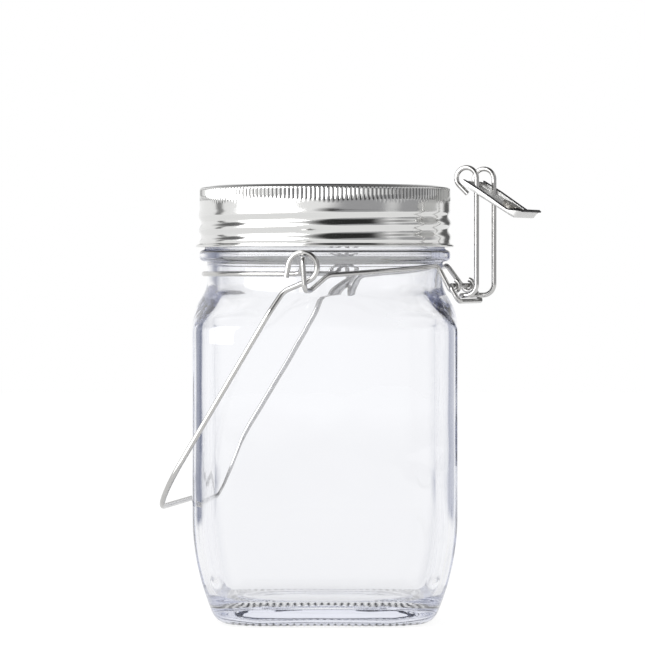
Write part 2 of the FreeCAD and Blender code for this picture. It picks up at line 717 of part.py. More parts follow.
def handle():
    """Wire handle with an open hook at each end, which hangs on the eyelet's top bend."""
    turn = math.radians(HOOK_CENTRE_TURN)
    centre = V(HOOK_OFFSET * math.sin(turn), 0, -HOOK_OFFSET * math.cos(turn))
    bend = V(0, 0, -HOOK_BEND_DROP)
    gap = centre - bend
    run = math.atan2(gap.z, gap.x) - math.asin(HOOK_RADIUS / gap.Length)
    first = math.degrees(run) - 90
    sweep = HOOK_SWEEP_END - first
    hook = round_bend(centre, HOOK_RADIUS, first, sweep, 3)
    tail = on_circle(centre, HOOK_RADIUS, HOOK_SWEEP_END) + heading(HOOK_SWEEP_END) * HOOK_TAIL
    profile = [tail] + hook[::-1] + [bend]
    half = [V(point.x, HOOK_PLANE, -point.z) for point in profile]
    half.append(V(0, HANDLE_HALF_WIDTH, LEG_STEP_DROP))
    half.append(V(0, HANDLE_HALF_WIDTH, HANDLE_LENGTH))
    front = [handle_point(point.x, -point.y, point.z) for point in half]
    back = [handle_point(point.x, point.y, point.z) for point in half]
    half_bends = [HOOK_RADIUS] * len(hook) + [HOOK_BEND, LEG_BEND, BOW_RADIUS]
    return bent_wire(front + back[::-1], half_bends + half_bends[::-1], HANDLE_GAUGE)


# Clip


def in_clip_point(point):
    return FreeCAD.Rotation(UP, CLIP_TURN).multVec(point)


def in_clip_frame(shape):
    shape.rotate(V(0, 0, 0), UP, CLIP_TURN)
    return shape


def hinge_ring():
    """Rectangular wire ring whose ends meet in the middle of its lower bar."""
    corners = []
    for side, reach, level in (
        (-1, RING_FOOT_REACH, RING_FOOT_LEVEL),
        (-1, RING_TOP_REACH, RING_TOP_LEVEL),
        (1, RING_TOP_REACH, RING_TOP_LEVEL),
        (1, RING_FOOT_REACH, RING_FOOT_LEVEL),
    ):
        corners.append(V(reach, CLIP_SHIFT + side * RING_HALF_WIDTH, level))
    middle = V(RING_FOOT_REACH, CLIP_SHIFT, RING_FOOT_LEVEL)
    half_gap = V(0, RING_JOINT_GAP / 2, 0)
    points = [middle - half_gap] + corners + [middle + half_gap]
    return in_clip_frame(bent_wire(points, [RING_BEND] * len(corners), CLIP_GAUGE))


def clip_link():
    """Two upright legs on a cross bar, each curled into an open eye at the top."""
    eye = V(LINK_EYE_REACH, 0, LINK_EYE_LEVEL)
    curl = round_bend(eye, LINK_EYE_RADIUS, 0, LINK_EYE_SWEEP, 3)
    tail = on_circle(eye, LINK_EYE_RADIUS, LINK_EYE_SWEEP) + heading(LINK_EYE_SWEEP) * LINK_TAIL
    half = [tail] + curl[::-1]
    half.append(V(LINK_LEG_REACH, 0, LINK_BAR_LEVEL))
    half.append(V(LINK_BAR_REACH, 0, LINK_BAR_LEVEL))
    front = [point + V(0, CLIP_SHIFT - LINK_HALF_WIDTH, 0) for point in half]
    back = [point + V(0, CLIP_SHIFT + LINK_HALF_WIDTH, 0) for point in half]
    half_bends = [LINK_EYE_RADIUS] * len(curl) + [LINK_FOOT_BEND, LINK_BAR_BEND]
    return in_clip_frame(bent_wire(front + back[::-1], half_bends + half_bends[::-1], CLIP_GAUGE))


def on_plate(shape):
    """Place a shape given with X along the plate from its pin and Z out of its open side."""
    shape.rotate(V(0, 0, 0), V(0, 1, 0), PLATE_DROOP)
    shape.translate(V(LINK_EYE_REACH, CLIP_SHIFT, PIN_LEVEL))
    return in_clip_frame(shape)


def clip_plate():
    """Pressed tray with two flanges, slots for the wire eyes and an end wall with a finger lip."""
    floor_low = FLOOR_TOP - PLATE_GAUGE
    width = 2 * (FLANGE_INSIDE + PLATE_GAUGE)
    floor = prism(
        [
            V(-PIN_RADIUS, 0, floor_low),
            V(PLATE_LENGTH, 0, floor_low),
            V(PLATE_LENGTH, 0, FLOOR_TOP),
            V(-PIN_RADIUS, 0, FLOOR_TOP),
        ],
        width,
    )
    droop = math.radians(PLATE_DROOP)
    eye_reach = LINK_EYE_RADIUS + CLIP_GAUGE / 2
    past_leg = eye_reach / math.cos(droop) - floor_low * math.tan(droop)
    past_eye = eye_reach + LINK_EYE_LEVEL - PIN_LEVEL
    slot_end = max(past_leg, past_eye) + WIRE_GAP
    slot_inside = LINK_HALF_WIDTH - CLIP_GAUGE / 2 - WIRE_GAP
    for side in (-1, 1):
        edges = sorted((side * slot_inside, side * width / 2))
        low = V(-PIN_RADIUS, edges[0], floor_low)
        floor = floor.cut(box(low, V(slot_end, edges[1], FLOOR_TOP)))
    rim = FLANGE_RISE + FLARE_RISE
    inner = PLATE_LENGTH - PLATE_GAUGE
    tip = prism(
        [
            V(inner, 0, floor_low),
            V(PLATE_LENGTH, 0, floor_low),
            V(PLATE_LENGTH, 0, rim - PLATE_GAUGE),
            V(PLATE_LENGTH + LIP_REACH, 0, rim - PLATE_GAUGE),
            V(PLATE_LENGTH + LIP_REACH, 0, rim),
            V(inner, 0, rim),
        ],
        width,
    )
    plate = floor.fuse(tip)
    nose = Part.makeCylinder(PLATE_NOSE, PLATE_GAUGE, V(0, 0, 0), V(0, 1, 0))
    cheek = [
        V(0, 0, floor_low),
        V(inner + PLATE_GAUGE / 2, 0, floor_low),
        V(inner + PLATE_GAUGE / 2, 0, rim - PLATE_GAUGE / 2),
        V(FLARE_START, 0, FLANGE_RISE),
        V(0, 0, FLANGE_RISE),
    ]
    for side in (-1, 1):
        middle = side * (FLANGE_INSIDE + PLATE_GAUGE / 2)
        flange = prism(cheek, PLATE_GAUGE)
        flange.translate(V(0, middle, 0))
        round_end = nose.copy()
        round_end.translate(V(0, middle - PLATE_GAUGE / 2, 0))
        cap = box(V(-10, middle - 2, FLANGE_RISE), V(10, middle + 2, 10))
        hole = Part.makeCylinder(PIN_RADIUS, PLATE_GAUGE, V(0, middle - PLATE_GAUGE / 2, 0), V(0, 1, 0))
        plate = plate.fuse(flange.fuse(round_end.cut(cap)).cut(hole))
    return on_plate(plate.removeSplitter())


def clip_pin():
    length = 2 * (FLANGE_INSIDE + PLATE_GAUGE)
    return on_plate(Part.makeCylinder(PIN_RADIUS, length, V(0, -length / 2, 0), V(0, 1, 0)))


def clip_magnet():
    magnet = disc(MAGNET_RADIUS, FLOOR_TOP, FLOOR_TOP + MAGNET_HEIGHT, MAGNET_REACH)
    return on_plate(magnet)


def main():
    os.makedirs("parts", exist_ok=True)
    save("glass_jar", [glass_jar()])
    save("screw_band", [screw_band()])
    save("seal_ring", [seal_ring()])
    save("module_housing", [module_housing()])
    save("panel_window", [panel_window()])
    save("solar_board", [solar_board()])
    save("solar_cells", solar_cells())
    save("led_board", [led_board()])
    save("leds", leds())
    save("board_pins", board_pins())
    save("driver_chip", [driver_chip()])
    save("reed_switch", [reed_switch()])
    save("battery_cells", battery_cells())
    save("battery_contacts", battery_contacts())
    save("battery_cover", [battery_cover()])
    save("cover_screws", cover_screws())
    save("neck_wire", [neck_wire()])
    save("handle", [handle()])
    save("hinge_ring", [hinge_ring()])
    save("clip_link", [clip_link()])
    save("clip_plate", [clip_plate()])
    save("clip_pin", [clip_pin()])
    save("clip_magnet", [clip_magnet()])


main()
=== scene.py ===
import math

import bpy
from bpy.props import FloatProperty, FloatVectorProperty, IntProperty, PointerProperty
from mathutils import Euler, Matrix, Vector


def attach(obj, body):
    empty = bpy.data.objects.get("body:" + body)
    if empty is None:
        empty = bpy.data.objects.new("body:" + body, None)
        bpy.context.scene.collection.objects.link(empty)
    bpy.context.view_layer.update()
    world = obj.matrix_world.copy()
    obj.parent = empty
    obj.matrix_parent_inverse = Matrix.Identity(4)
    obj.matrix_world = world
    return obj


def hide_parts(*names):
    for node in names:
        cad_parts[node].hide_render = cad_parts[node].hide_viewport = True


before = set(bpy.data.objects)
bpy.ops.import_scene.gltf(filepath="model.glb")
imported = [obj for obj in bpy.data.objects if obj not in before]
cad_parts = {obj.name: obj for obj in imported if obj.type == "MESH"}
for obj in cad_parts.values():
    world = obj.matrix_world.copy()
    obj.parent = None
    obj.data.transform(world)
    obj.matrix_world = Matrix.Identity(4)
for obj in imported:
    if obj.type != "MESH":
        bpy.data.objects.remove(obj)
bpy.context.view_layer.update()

bl_info = {
    "name": "Jar Lantern",
    "version": (1, 0, 0),
    "blender": (4, 5, 0),
    "location": "3D View > Sidebar > Lantern",
    "description": "Models and finishes a jar lantern on its packed CAD frame",
    "category": "Object",
}

MM = 0.001
SAME_PLACE = 1e-6


# Sizes and colours that a user would change


def length_property(name, description, default):
    return FloatProperty(name=name, description=description, default=default, unit="LENGTH")


def colour_property(name, description, default):
    return FloatVectorProperty(
        name=name, description=description, default=default, subtype="COLOR", min=0, max=1)


class JarSizes(bpy.types.PropertyGroup):
    """Sizes of the glass."""

    body_half: length_property("Body half width", "From the axis to the middle of a side", 0.0545)
    corner: length_property("Corner radius", "Radius of the upright corners of the body", 0.022)
    wall: length_property("Wall", "Thickness of the glass", 0.0034)
    tooth_rise: length_property("Foot tooth rise", "Height of the notches round the foot", 0.0011)
    nub_rise: length_property("Nub rise", "How far the two small nubs stand out of the heel", 0.0009)


class BandSizes(bpy.types.PropertyGroup):
    """Sizes of the screw band."""

    rib_count: IntProperty(
        name="Ribs", description="Number of grip ribs round the top edge", default=180, min=60)
    rib_depth: length_property("Rib depth", "Depth of the valleys between the grip ribs", 0.0005)
    groove_depth: length_property("Groove depth", "Depth of the rolled thread groove", 0.00105)
    gauge: length_property("Gauge", "Thickness of the sheet", 0.00045)


class PlateSizes(bpy.types.PropertyGroup):
    """Sizes of the clip plate."""

    cheek_rise: length_property("Cheek rise", "Height of the cheeks above the pin", 0.0011)
    rim_rise: length_property("Rim rise", "Height of the end wall above the pin", 0.0025)
    fold: length_property("Fold", "Size of the rounded folds", 0.0007)
    gauge: length_property("Gauge", "Thickness of the sheet", 0.0006)


class LanternColours(bpy.types.PropertyGroup):
    """Colours of the finishes."""

    glass: colour_property("Glass", "Tint of the glass where it is looked through", (0.975, 0.978, 0.99))
    lid_steel: colour_property("Lid steel", "Tinned steel of the band", (0.79, 0.79, 0.78))
    wire_steel: colour_property("Wire steel", "Drawn wire of the handle and the clip", (0.6, 0.595, 0.585))
    plastic: colour_property("White plastic", "Housing and hatch of the module", (0.85, 0.85, 0.83))
    board: colour_property("Board", "Solder mask of the boards", (0.02, 0.11, 0.05))
    cell: colour_property("Solar cell", "Silicon of the solar cells", (0.008, 0.013, 0.045))
    sleeve: colour_property("Battery sleeve", "Shrink sleeve of the battery cells", (0.03, 0.24, 0.12))
    rubber: colour_property("Rubber", "Seal under the module", (0.78, 0.78, 0.76))


class StageSettings(bpy.types.PropertyGroup):
    """Camera and light of the stage."""

    camera_distance: length_property("Camera distance", "From the jar's axis to the camera", 1.7)
    camera_height: length_property("Camera height", "Height of the camera above the floor", 0.145)
    camera_tilt: FloatProperty(
        name="Camera tilt", description="How far the camera looks down",
        default=math.radians(0.8), subtype="ANGLE")
    lens: FloatProperty(
        name="Lens", description="Focal length in millimetres", default=231.5, unit="CAMERA")
    ambient: FloatProperty(
        name="Ambient", description="Strength of the soft light from all round", default=0.75)


# Places on the band that its shape and its finish share, in millimetres

BAND_RADIUS = 51.3
RIB_BOTTOM = 171.2
RIB_TOP = 175.7


# Small helpers for modelling in edit mode


def near(first, second):
    return abs(first - second) < SAME_PLACE


def at(**places):
    """Test of whether a point is at the given places along its axes."""
    return lambda point: all(near(getattr(point, axis), place) for axis, place in places.items())


def arc(centre, radius, first, last, steps):
    """Places along a circular arc between two angles in degrees."""
    turns = [math.radians(first + (last - first) * index / steps) for index in range(steps + 1)]
    return [(centre[0] + radius * math.cos(turn), centre[1] + radius * math.sin(turn)) for turn in turns]


def facing(place, aim, front):
    """Rotation that points an object's front axis from its place at an aim."""
    return (Vector(aim) - Vector(place)).to_track_quat(front, "Y").to_euler()


def edit_mode():
    bpy.ops.object.mode_set(mode="EDIT")


def object_mode():
    bpy.ops.object.mode_set(mode="OBJECT")


def clear_selection():
    """Leave edit mode with nothing selected, as the CAD nodes come in selected."""
    if bpy.context.object and bpy.context.object.mode != "OBJECT":
        object_mode()
    bpy.ops.object.select_all(action="DESELECT")


def put_in_place(piece, place, turn, scale=(1, 1, 1)):
    """Put a piece's place, turn and scale into its mesh."""
    piece.location = place
    piece.rotation_euler = turn
    piece.scale = scale
    bpy.ops.object.transform_apply(location=True, rotation=True, scale=True)


def add_sheet(name, place, width, depth, turn=(0, 0, 0)):
    """Add a flat sheet at its size and place, with nothing else selected."""
    clear_selection()
    bpy.ops.mesh.primitive_plane_add(size=1)
    sheet = bpy.context.object
    sheet.name = sheet.data.name = name
    put_in_place(sheet, place, turn, (width, depth, 1))
    return sheet


def select_all():
    bpy.ops.mesh.select_all(action="SELECT")


def pick(piece, kind, test):
    """Enter edit mode with only the vertices, edges or faces that pass a test selected."""
    object_mode()
    mesh = piece.data
    points = mesh.vertices
    for group in (points, mesh.edges, mesh.polygons):
        group.foreach_set("select", [False] * len(group))
    if kind == "VERT":
        chosen = [point for point in points if test(point.co)]
    elif kind == "EDGE":
        chosen = [edge for edge in mesh.edges if all(test(points[i].co) for i in edge.vertices)]
    else:
        chosen = [face for face in mesh.polygons if test(face)]
    if not chosen:
        raise RuntimeError(f"nothing to select on {piece.name}")
    for element in chosen:
        element.select = True
    modes = tuple(kind == mode for mode in ("VERT", "EDGE", "FACE"))
    bpy.context.tool_settings.mesh_select_mode = modes
    edit_mode()


def extrude(x, y, z):
    bpy.ops.mesh.extrude_region_move(TRANSFORM_OT_translate={"value": (x, y, z)})


def lift(rise):
    bpy.ops.transform.translate(value=(0, 0, rise))


def add_modifier(piece, kind, **values):
    """Add a modifier with its settings and apply it."""
    bpy.ops.object.modifier_add(type=kind)
    step = piece.modifiers[-1]
    for name, value in values.items():
        setattr(step, name, value)
    bpy.ops.object.modifier_apply(modifier=step.name)


def smooth(degrees):
    bpy.ops.object.shade_smooth_by_angle(angle=math.radians(degrees))


def face_outwards(merge):
    """Merge doubles and turn the faces of a finished mesh outwards."""
    edit_mode()
    select_all()
    bpy.ops.mesh.remove_doubles(threshold=merge)
    bpy.ops.mesh.normals_make_consistent(inside=False)
    object_mode()


def hand_over(piece, body, material, slot, *nodes):
    """Finish a new piece: its material, its body and the CAD nodes it stands for."""
    piece.data.materials.append(material)
    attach(piece, body)
    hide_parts(*nodes)


def dress(material, *nodes):
    """Give carried-over CAD nodes a finish."""
    for name in nodes:
        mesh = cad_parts[name].data
        mesh.materials.clear()
        mesh.materials.append(material)


# Shader helpers


def scaled(colour, factor, added=0.0):
    return tuple(min(1.0, value * factor + added) for value in colour)


class ShaderTree:
    """Short ways to add nodes to a shader tree and to link them."""

    def __init__(self, tree):
        self.tree = tree

    def join(self, value, socket):
        """Link an output to a socket, or set the socket to a number, a vector or a colour."""
        if isinstance(value, bpy.types.NodeSocket):
            self.tree.links.new(value, socket)
        elif socket.type == "RGBA":
            socket.default_value = (*value[:3], 1)
        else:
            socket.default_value = value

    def put(self, kind, values=None, **settings):
        """Add a node with its settings, and set or link its sockets."""
        node = self.tree.nodes.new(kind)
        for name, value in settings.items():
            setattr(node, name, value)
        for name, value in (values or {}).items():
            self.join(value, node.inputs[name])
        return node

    def place(self, kind="Object"):
        """Texture coordinates on the piece."""
        return self.put("ShaderNodeTexCoord").outputs[kind]

    def split(self, vector):
        """Axes of a vector."""
        return self.put("ShaderNodeSeparateXYZ", {0: vector}).outputs

    def maths(self, operation, *values, clamp=False):
        node = self.put("ShaderNodeMath", dict(enumerate(values)), operation=operation, use_clamp=clamp)
        return node.outputs[0]

    def times(self, first, *others):
        """Product of two or more values."""
        for other in others:
            first = self.maths("MULTIPLY", first, other)
        return first

    def between(self, value, low, high):
        """Mask of where a value is between two limits."""
        return self.times(self.maths("GREATER_THAN", value, low), self.maths("LESS_THAN", value, high))

    def below(self, value, limit, fade):
        """Mask of where a value is below a limit, with a soft edge."""
        return self.maths("MULTIPLY", self.maths("SUBTRACT", limit, value), 1 / fade, clamp=True)

    def level_product(self, first, second):
        """Dot product of two vectors without their heights, from their axes."""
        return self.maths("ADD", *(self.times(first[axis], second[axis]) for axis in "XY"))

    def map_range(self, value, start, end, first=0.0, last=1.0):
        """Values from one range brought into another, and held at its ends."""
        node = self.put("ShaderNodeMapRange", {
            "Value": value, "From Min": start, "From Max": end, "To Min": first, "To Max": last})
        return node.outputs["Result"]

    def noise(self, place, scale, detail=3.0, roughness=0.5):
        node = self.put("ShaderNodeTexNoise", {
            "Vector": place, "Scale": scale, "Detail": detail, "Roughness": roughness})
        return node.outputs["Fac"]

    def blend(self, share, first, second):
        """Mix two colours or colour sockets by a share."""
        return self.put("ShaderNodeMix", {0: share, 6: first, 7: second}, data_type="RGBA").outputs[2]

    def ramp(self, source, stops):
        """Add a colour ramp with its stops."""
        node = self.put("ShaderNodeValToRGB", {"Fac": source})
        marks = node.color_ramp.elements
        while len(marks) < len(stops):
            marks.new(0.5)
        for mark, (place, colour) in zip(marks, stops):
            mark.position = place
            mark.color = (*colour, 1)
        return node.outputs["Color"]

    def mix_shaders(self, share, first, second):
        """Put a mix of two shader nodes on a new output."""
        mix = self.put("ShaderNodeMixShader", {0: share, 1: first.outputs[0], 2: second.outputs[0]})
        self.put("ShaderNodeOutputMaterial", {"Surface": mix.outputs[0]})


class Finish(ShaderTree):
    """A new material, fed through its Principled shader."""

    def __init__(self, name, **values):
        self.material = bpy.data.materials.new(name)
        self.material.use_nodes = True
        super().__init__(self.material.node_tree)
        self.sockets = self.tree.nodes["Principled BSDF"].inputs
        self.feed(**values)

    def feed(self, **values):
        """Set or link sockets of the shader, with underscores for the spaces in their names."""
        for name, value in values.items():
            self.join(value, self.sockets[name.replace("_", " ")])

    def bump(self, height, strength, distance):
        node = self.put("ShaderNodeBump", {"Height": height, "Strength": strength, "Distance": distance})
        self.feed(Normal=node.outputs["Normal"])

    def surface(self, group, **values):
        """Place a surface group with its values, and feed the roughness that it gives."""
        named = {name.replace("_", " "): value for name, value in values.items()}
        outputs = self.put("ShaderNodeGroup", named, node_tree=group).outputs
        self.feed(Roughness=outputs["Roughness"])
        return outputs


def surface_group(name, build, **inputs):
    """Group with named values in, and a shade, a roughness and a height out, built once."""
    if name not in bpy.data.node_groups:
        tree = bpy.data.node_groups.new(name, "ShaderNodeTree")
        for label, default in inputs.items():
            socket = tree.interface.new_socket(
                label.replace("_", " "), in_out="INPUT", socket_type="NodeSocketFloat")
            socket.default_value = default
        for label in ("Shade", "Roughness", "Height"):
            tree.interface.new_socket(label, in_out="OUTPUT", socket_type="NodeSocketFloat")
        nodes = ShaderTree(tree)
        entry = nodes.put("NodeGroupInput").outputs
        shade, offset, height = build(nodes, entry)
        rough = nodes.maths("MULTIPLY_ADD", offset, entry["Spread"], entry["Roughness"])
        nodes.put("NodeGroupOutput", {"Shade": shade, "Roughness": rough, "Height": height})
    return bpy.data.node_groups[name]


def metal_wear():
    """Group for bare metal: fine grain, soft handling marks and the roughness they leave."""
    def build(nodes, entry):
        place = nodes.place()
        grain = nodes.noise(place, entry["Grain scale"], 4.0, 0.6)
        marks = nodes.noise(place, entry["Mark scale"], 5.0, 0.65)
        shade = nodes.maths("MULTIPLY_ADD", marks, 0.7, nodes.times(grain, 0.3))
        return shade, nodes.maths("SUBTRACT", shade, 0.5), grain

    return surface_group(
        "Metal wear", build, Grain_scale=2500.0, Mark_scale=60.0, Roughness=0.2, Spread=0.1)


def moulded_skin():
    """Group for moulded pieces: the fine skin of the mould and slow changes of shade."""
    def build(nodes, entry):
        place = nodes.place()
        skin = nodes.noise(place, entry["Skin scale"], 5.0, 0.7)
        flow = nodes.noise(place, 45.0, 2.0, 0.5)
        return flow, nodes.maths("SUBTRACT", nodes.maths("ADD", skin, flow), 1.0), skin

    return surface_group("Moulded skin", build, Skin_scale=1800.0, Roughness=0.4, Spread=0.15)


# Finishes

# Painted shade: dark lines along the top of the bead and in the notches of the foot, with lengths in
# millimetres
CREASE_LEVEL = 150.3
CREASE_RADIUS = 49.4
CREASE_HALF = 0.65
CREASE_FADE = 0.4
NOTCH_RADIUS = 36.0
NOTCH_STEP = 1.37
NOTCH_TOP = 0.55
NOTCH_FADE = 0.2
NOTCH_SLOPE = 0.8
NOTCH_GAIN = 1.3


def jar_glass_finish(colours):
    """Pressed glass with slow waves, and painted shade: near-black lines at the top of the bead and in the
    foot's notches.
    """
    finish = Finish("jar_glass", Metallic=0.0, Transmission_Weight=1.0, IOR=1.5)
    maths = finish.maths
    place = finish.place()
    axes = finish.split(place)
    radius = maths("SQRT", finish.level_product(axes, axes))
    # Painted shade: a near-black line round the outside of the glass along the top of the bead
    away = maths("ABSOLUTE", maths("SUBTRACT", axes["Z"], CREASE_LEVEL * MM))
    outside = maths("GREATER_THAN", radius, CREASE_RADIUS * MM)
    crease_shade = finish.times(finish.below(away, CREASE_HALF * MM, CREASE_FADE * MM), outside)
    # Painted shade: near-black triangles in the notches round the foot
    front = maths("GREATER_THAN", maths("ABSOLUTE", axes["Y"]), maths("ABSOLUTE", axes["X"]))
    along = maths("MULTIPLY_ADD", front, maths("SUBTRACT", axes["X"], axes["Y"]), axes["Y"])
    wave = maths("PINGPONG", along, NOTCH_STEP * MM)
    above = maths("SUBTRACT", axes["Z"], finish.times(wave, NOTCH_SLOPE))
    tooth = maths("MULTIPLY", wave, NOTCH_GAIN / (NOTCH_STEP * MM), clamp=True)
    foot = maths("GREATER_THAN", radius, NOTCH_RADIUS * MM)
    notch_shade = finish.times(finish.below(above, NOTCH_TOP * MM, NOTCH_FADE * MM), tooth, foot)
    tint = finish.blend(finish.noise(place, 35.0, 2.0), colours.glass, scaled(colours.glass, 1.012))
    film = finish.noise(place, 110.0, 4.0, 0.6)
    # Both lines of painted shade darken the base colour
    finish.feed(
        Base_Color=finish.blend(maths("MAXIMUM", crease_shade, notch_shade), tint, (0.004, 0.004, 0.005)),
        Roughness=finish.times(maths("SUBTRACT", film, 0.35, clamp=True), 0.02))
    finish.bump(finish.noise(place, 42.0, 1.0, 0.4), 0.25, 1.2 * MM)
    depth = finish.put("ShaderNodeVolumeAbsorption", {"Color": (0.6, 0.64, 0.82), "Density": 5.0})
    finish.join(depth.outputs[0], finish.tree.nodes["Material Output"].inputs["Volume"])
    return finish.material


def clear_window_finish():
    """Clear moulded cover with fine rubbed scratches."""
    finish = Finish("clear_window", Metallic=0.0, Transmission_Weight=1.0, IOR=1.49)
    place = finish.place()
    turned = finish.put("ShaderNodeMapping", {
        "Vector": place, "Rotation": (0, 0, 0.7), "Scale": (1.0, 26.0, 1.0)})
    scratches = finish.noise(turned.outputs[0], 160.0, 3.0, 0.6)
    bare = finish.maths("SUBTRACT", scratches, 0.45, clamp=True)
    haze = finish.noise(place, 25.0, 2.0)
    finish.feed(Base_Color=finish.blend(haze, (0.97, 0.98, 0.98), (0.985, 0.985, 0.98)),
                Roughness=finish.times(bare, 0.3))
    return finish.material


def steel_finish(name, colour, roughness, spread, grain, marks, height):
    """Bare steel with grain and handling marks."""
    finish = Finish(name, Metallic=1.0)
    wear = finish.surface(
        metal_wear(), Grain_scale=grain, Mark_scale=marks, Roughness=roughness, Spread=spread)
    finish.feed(Base_Color=finish.blend(wear["Shade"], scaled(colour, 0.86), colour))
    finish.bump(wear["Height"], height, 0.05 * MM)
    return finish.material


def lid_finish(colours):
    """Rolled tinplate: lines round the band, handling marks, painted shade between the ribs and painted
    shade on the inside.
    """
    valley_depth, valley_fade, rib_end = 0.18, 0.3, 0.1
    finish = Finish("lid_tinplate", Metallic=1.0)
    maths = finish.maths
    wear = finish.surface(metal_wear(), Grain_scale=900.0, Mark_scale=45.0, Roughness=0.13, Spread=0.12)
    axes = finish.split(finish.place())
    around = maths("ARCTAN2", axes["Y"], axes["X"])
    radius = maths("SQRT", finish.level_product(axes, axes))
    rolled = finish.put("ShaderNodeCombineXYZ", {
        "X": finish.times(around, 0.006), "Y": radius, "Z": axes["Z"]})
    lines = finish.noise(rolled.outputs[0], 2600.0, 3.0, 0.6)
    shade = maths("MULTIPLY_ADD", lines, 0.4, finish.times(wear["Shade"], 0.6))
    steel = finish.blend(shade, scaled(colours.lid_steel, 0.88), colours.lid_steel)
    # Painted shade: the valleys between the grip ribs darken to near black
    valley_shade = finish.below(radius, (BAND_RADIUS - valley_depth) * MM, valley_fade * MM)
    ribbed = finish.between(axes["Z"], RIB_BOTTOM * MM, (RIB_TOP - rib_end) * MM)
    steel = finish.blend(finish.times(valley_shade, ribbed, 0.9), steel, (0.03, 0.03, 0.03))
    # Painted shade: the faces that look towards the axis, inside the band, are near black
    outward = finish.level_product(finish.split(finish.place("Normal")), axes)
    inside = maths("LESS_THAN", outward, -0.01)
    finish.feed(Base_Color=finish.blend(inside, steel, (0.04, 0.04, 0.042)))
    finish.bump(lines, 0.12, 0.04 * MM)
    return finish.material


def plastic_finish(name, colour, roughness, skin):
    """Moulded plastic or rubber."""
    finish = Finish(name)
    mould = finish.surface(moulded_skin(), Skin_scale=skin, Roughness=roughness, Spread=0.16)
    finish.feed(Base_Color=finish.blend(mould["Shade"], scaled(colour, 0.93), colour))
    finish.bump(mould["Height"], 0.25, 0.06 * MM)
    return finish.material


def cell_finish(colours):
    """Silicon with silver fingers and two bus bars on each cell."""
    finger_pitch, finger_width = 1.6 * MM, 0.16 * MM
    bar_pitch, bar_width, middle_gap = 13.5 * MM, 1.1 * MM, 0.25 * MM
    edge_fade = 0.1 * MM
    finish = Finish("solar_silicon", Coat_Weight=0.4, Coat_Roughness=0.08)
    maths = finish.maths
    place = finish.place()
    axes = finish.split(place)

    def lines(axis, pitch, width):
        return finish.below(maths("PINGPONG", axis, pitch / 2), width / 2, edge_fade)

    crystal = finish.put("ShaderNodeTexVoronoi", {"Vector": place, "Scale": 220.0, "Randomness": 1.0})
    grey = finish.put("ShaderNodeSeparateColor", {0: crystal.outputs["Color"]})
    silicon = finish.blend(grey.outputs[0], colours.cell, scaled(colours.cell, 1.7, 0.004))
    middle = maths("SUBTRACT", maths("ABSOLUTE", axes["Y"]), middle_gap)
    bars = lines(middle, bar_pitch, bar_width)
    fingers = lines(axes["X"], finger_pitch, finger_width)
    silver = maths("MAXIMUM", finish.times(fingers, 0.55), bars)
    finish.feed(Base_Color=finish.blend(silver, silicon, (0.62, 0.63, 0.64)),
                Roughness=maths("MULTIPLY_ADD", silver, 0.2, 0.22))
    finish.bump(silver, 0.3, 0.03 * MM)
    return finish.material


def board_finish(colours):
    """Solder mask over copper tracks, which show as paler raised lines."""
    finish = Finish("board_mask")
    place = finish.place()
    black, white = (0, 0, 0), (1, 1, 1)
    tracks = finish.put("ShaderNodeTexBrick", {
        "Vector": place, "Scale": 210.0, "Mortar Size": 0.06, "Mortar Smooth": 0.2,
        "Color1": black, "Color2": black, "Mortar": white}).outputs["Fac"]
    mottle = finish.noise(place, 300.0)
    mask = finish.blend(tracks, colours.board, scaled(colours.board, 1.6, 0.01))
    finish.feed(Base_Color=finish.blend(finish.times(mottle, 0.25), mask, (0, 0.02, 0.01)),
                Roughness=finish.maths("MULTIPLY_ADD", mottle, 0.2, 0.25))
    finish.bump(tracks, 0.3, 0.04 * MM)
    return finish.material


def lamp_finish():
    """Lamp lens: clear resin over a warm yellow phosphor near its board."""
    lens_tip, lens_base = 152.1 * MM, 155.2 * MM
    finish = Finish("lamp_lens", Transmission_Weight=0.35, Coat_Weight=0.5)
    place = finish.place()
    depth = finish.map_range(finish.split(place)["Z"], lens_tip, lens_base)
    swirl = finish.noise(place, 700.0, 2.0)
    resin, glow, phosphor = (0.95, 0.94, 0.88), (0.95, 0.88, 0.6), (0.9, 0.72, 0.25)
    finish.feed(Base_Color=finish.ramp(depth, ((0.0, resin), (0.55, glow), (1.0, phosphor))),
                Roughness=finish.maths("MULTIPLY_ADD", swirl, 0.1, 0.1))
    return finish.material


def sleeve_finish(colours):
    """Shrink sleeve with a bare metal tip and a plain pale band at each end."""
    band_start, band_end, tip_start = 17 * MM, 19 * MM, 21.6 * MM
    finish = Finish("battery_sleeve")
    maths = finish.maths
    mould = finish.surface(moulded_skin(), Skin_scale=900.0, Roughness=0.3, Spread=0.1)
    along = maths("ABSOLUTE", finish.split(finish.place())["X"])
    tip = maths("GREATER_THAN", along, tip_start)
    colour = finish.blend(mould["Shade"], colours.sleeve, scaled(colours.sleeve, 1.15))
    colour = finish.blend(finish.between(along, band_start, band_end), colour, (0.75, 0.75, 0.72))
    finish.feed(Base_Color=finish.blend(tip, colour, (0.7, 0.7, 0.69)), Metallic=tip)
    return finish.material


def reed_finish():
    """Green-tinted glass tube of the switch."""
    finish = Finish("reed_glass", Transmission_Weight=0.8)
    cloud = finish.noise(finish.place(), 500.0, 2.0)
    finish.feed(Base_Color=finish.blend(cloud, (0.75, 0.88, 0.78), (0.85, 0.94, 0.86)),
                Roughness=finish.maths("MULTIPLY_ADD", cloud, 0.06, 0.03))
    return finish.material


# Glass jar, in millimetres

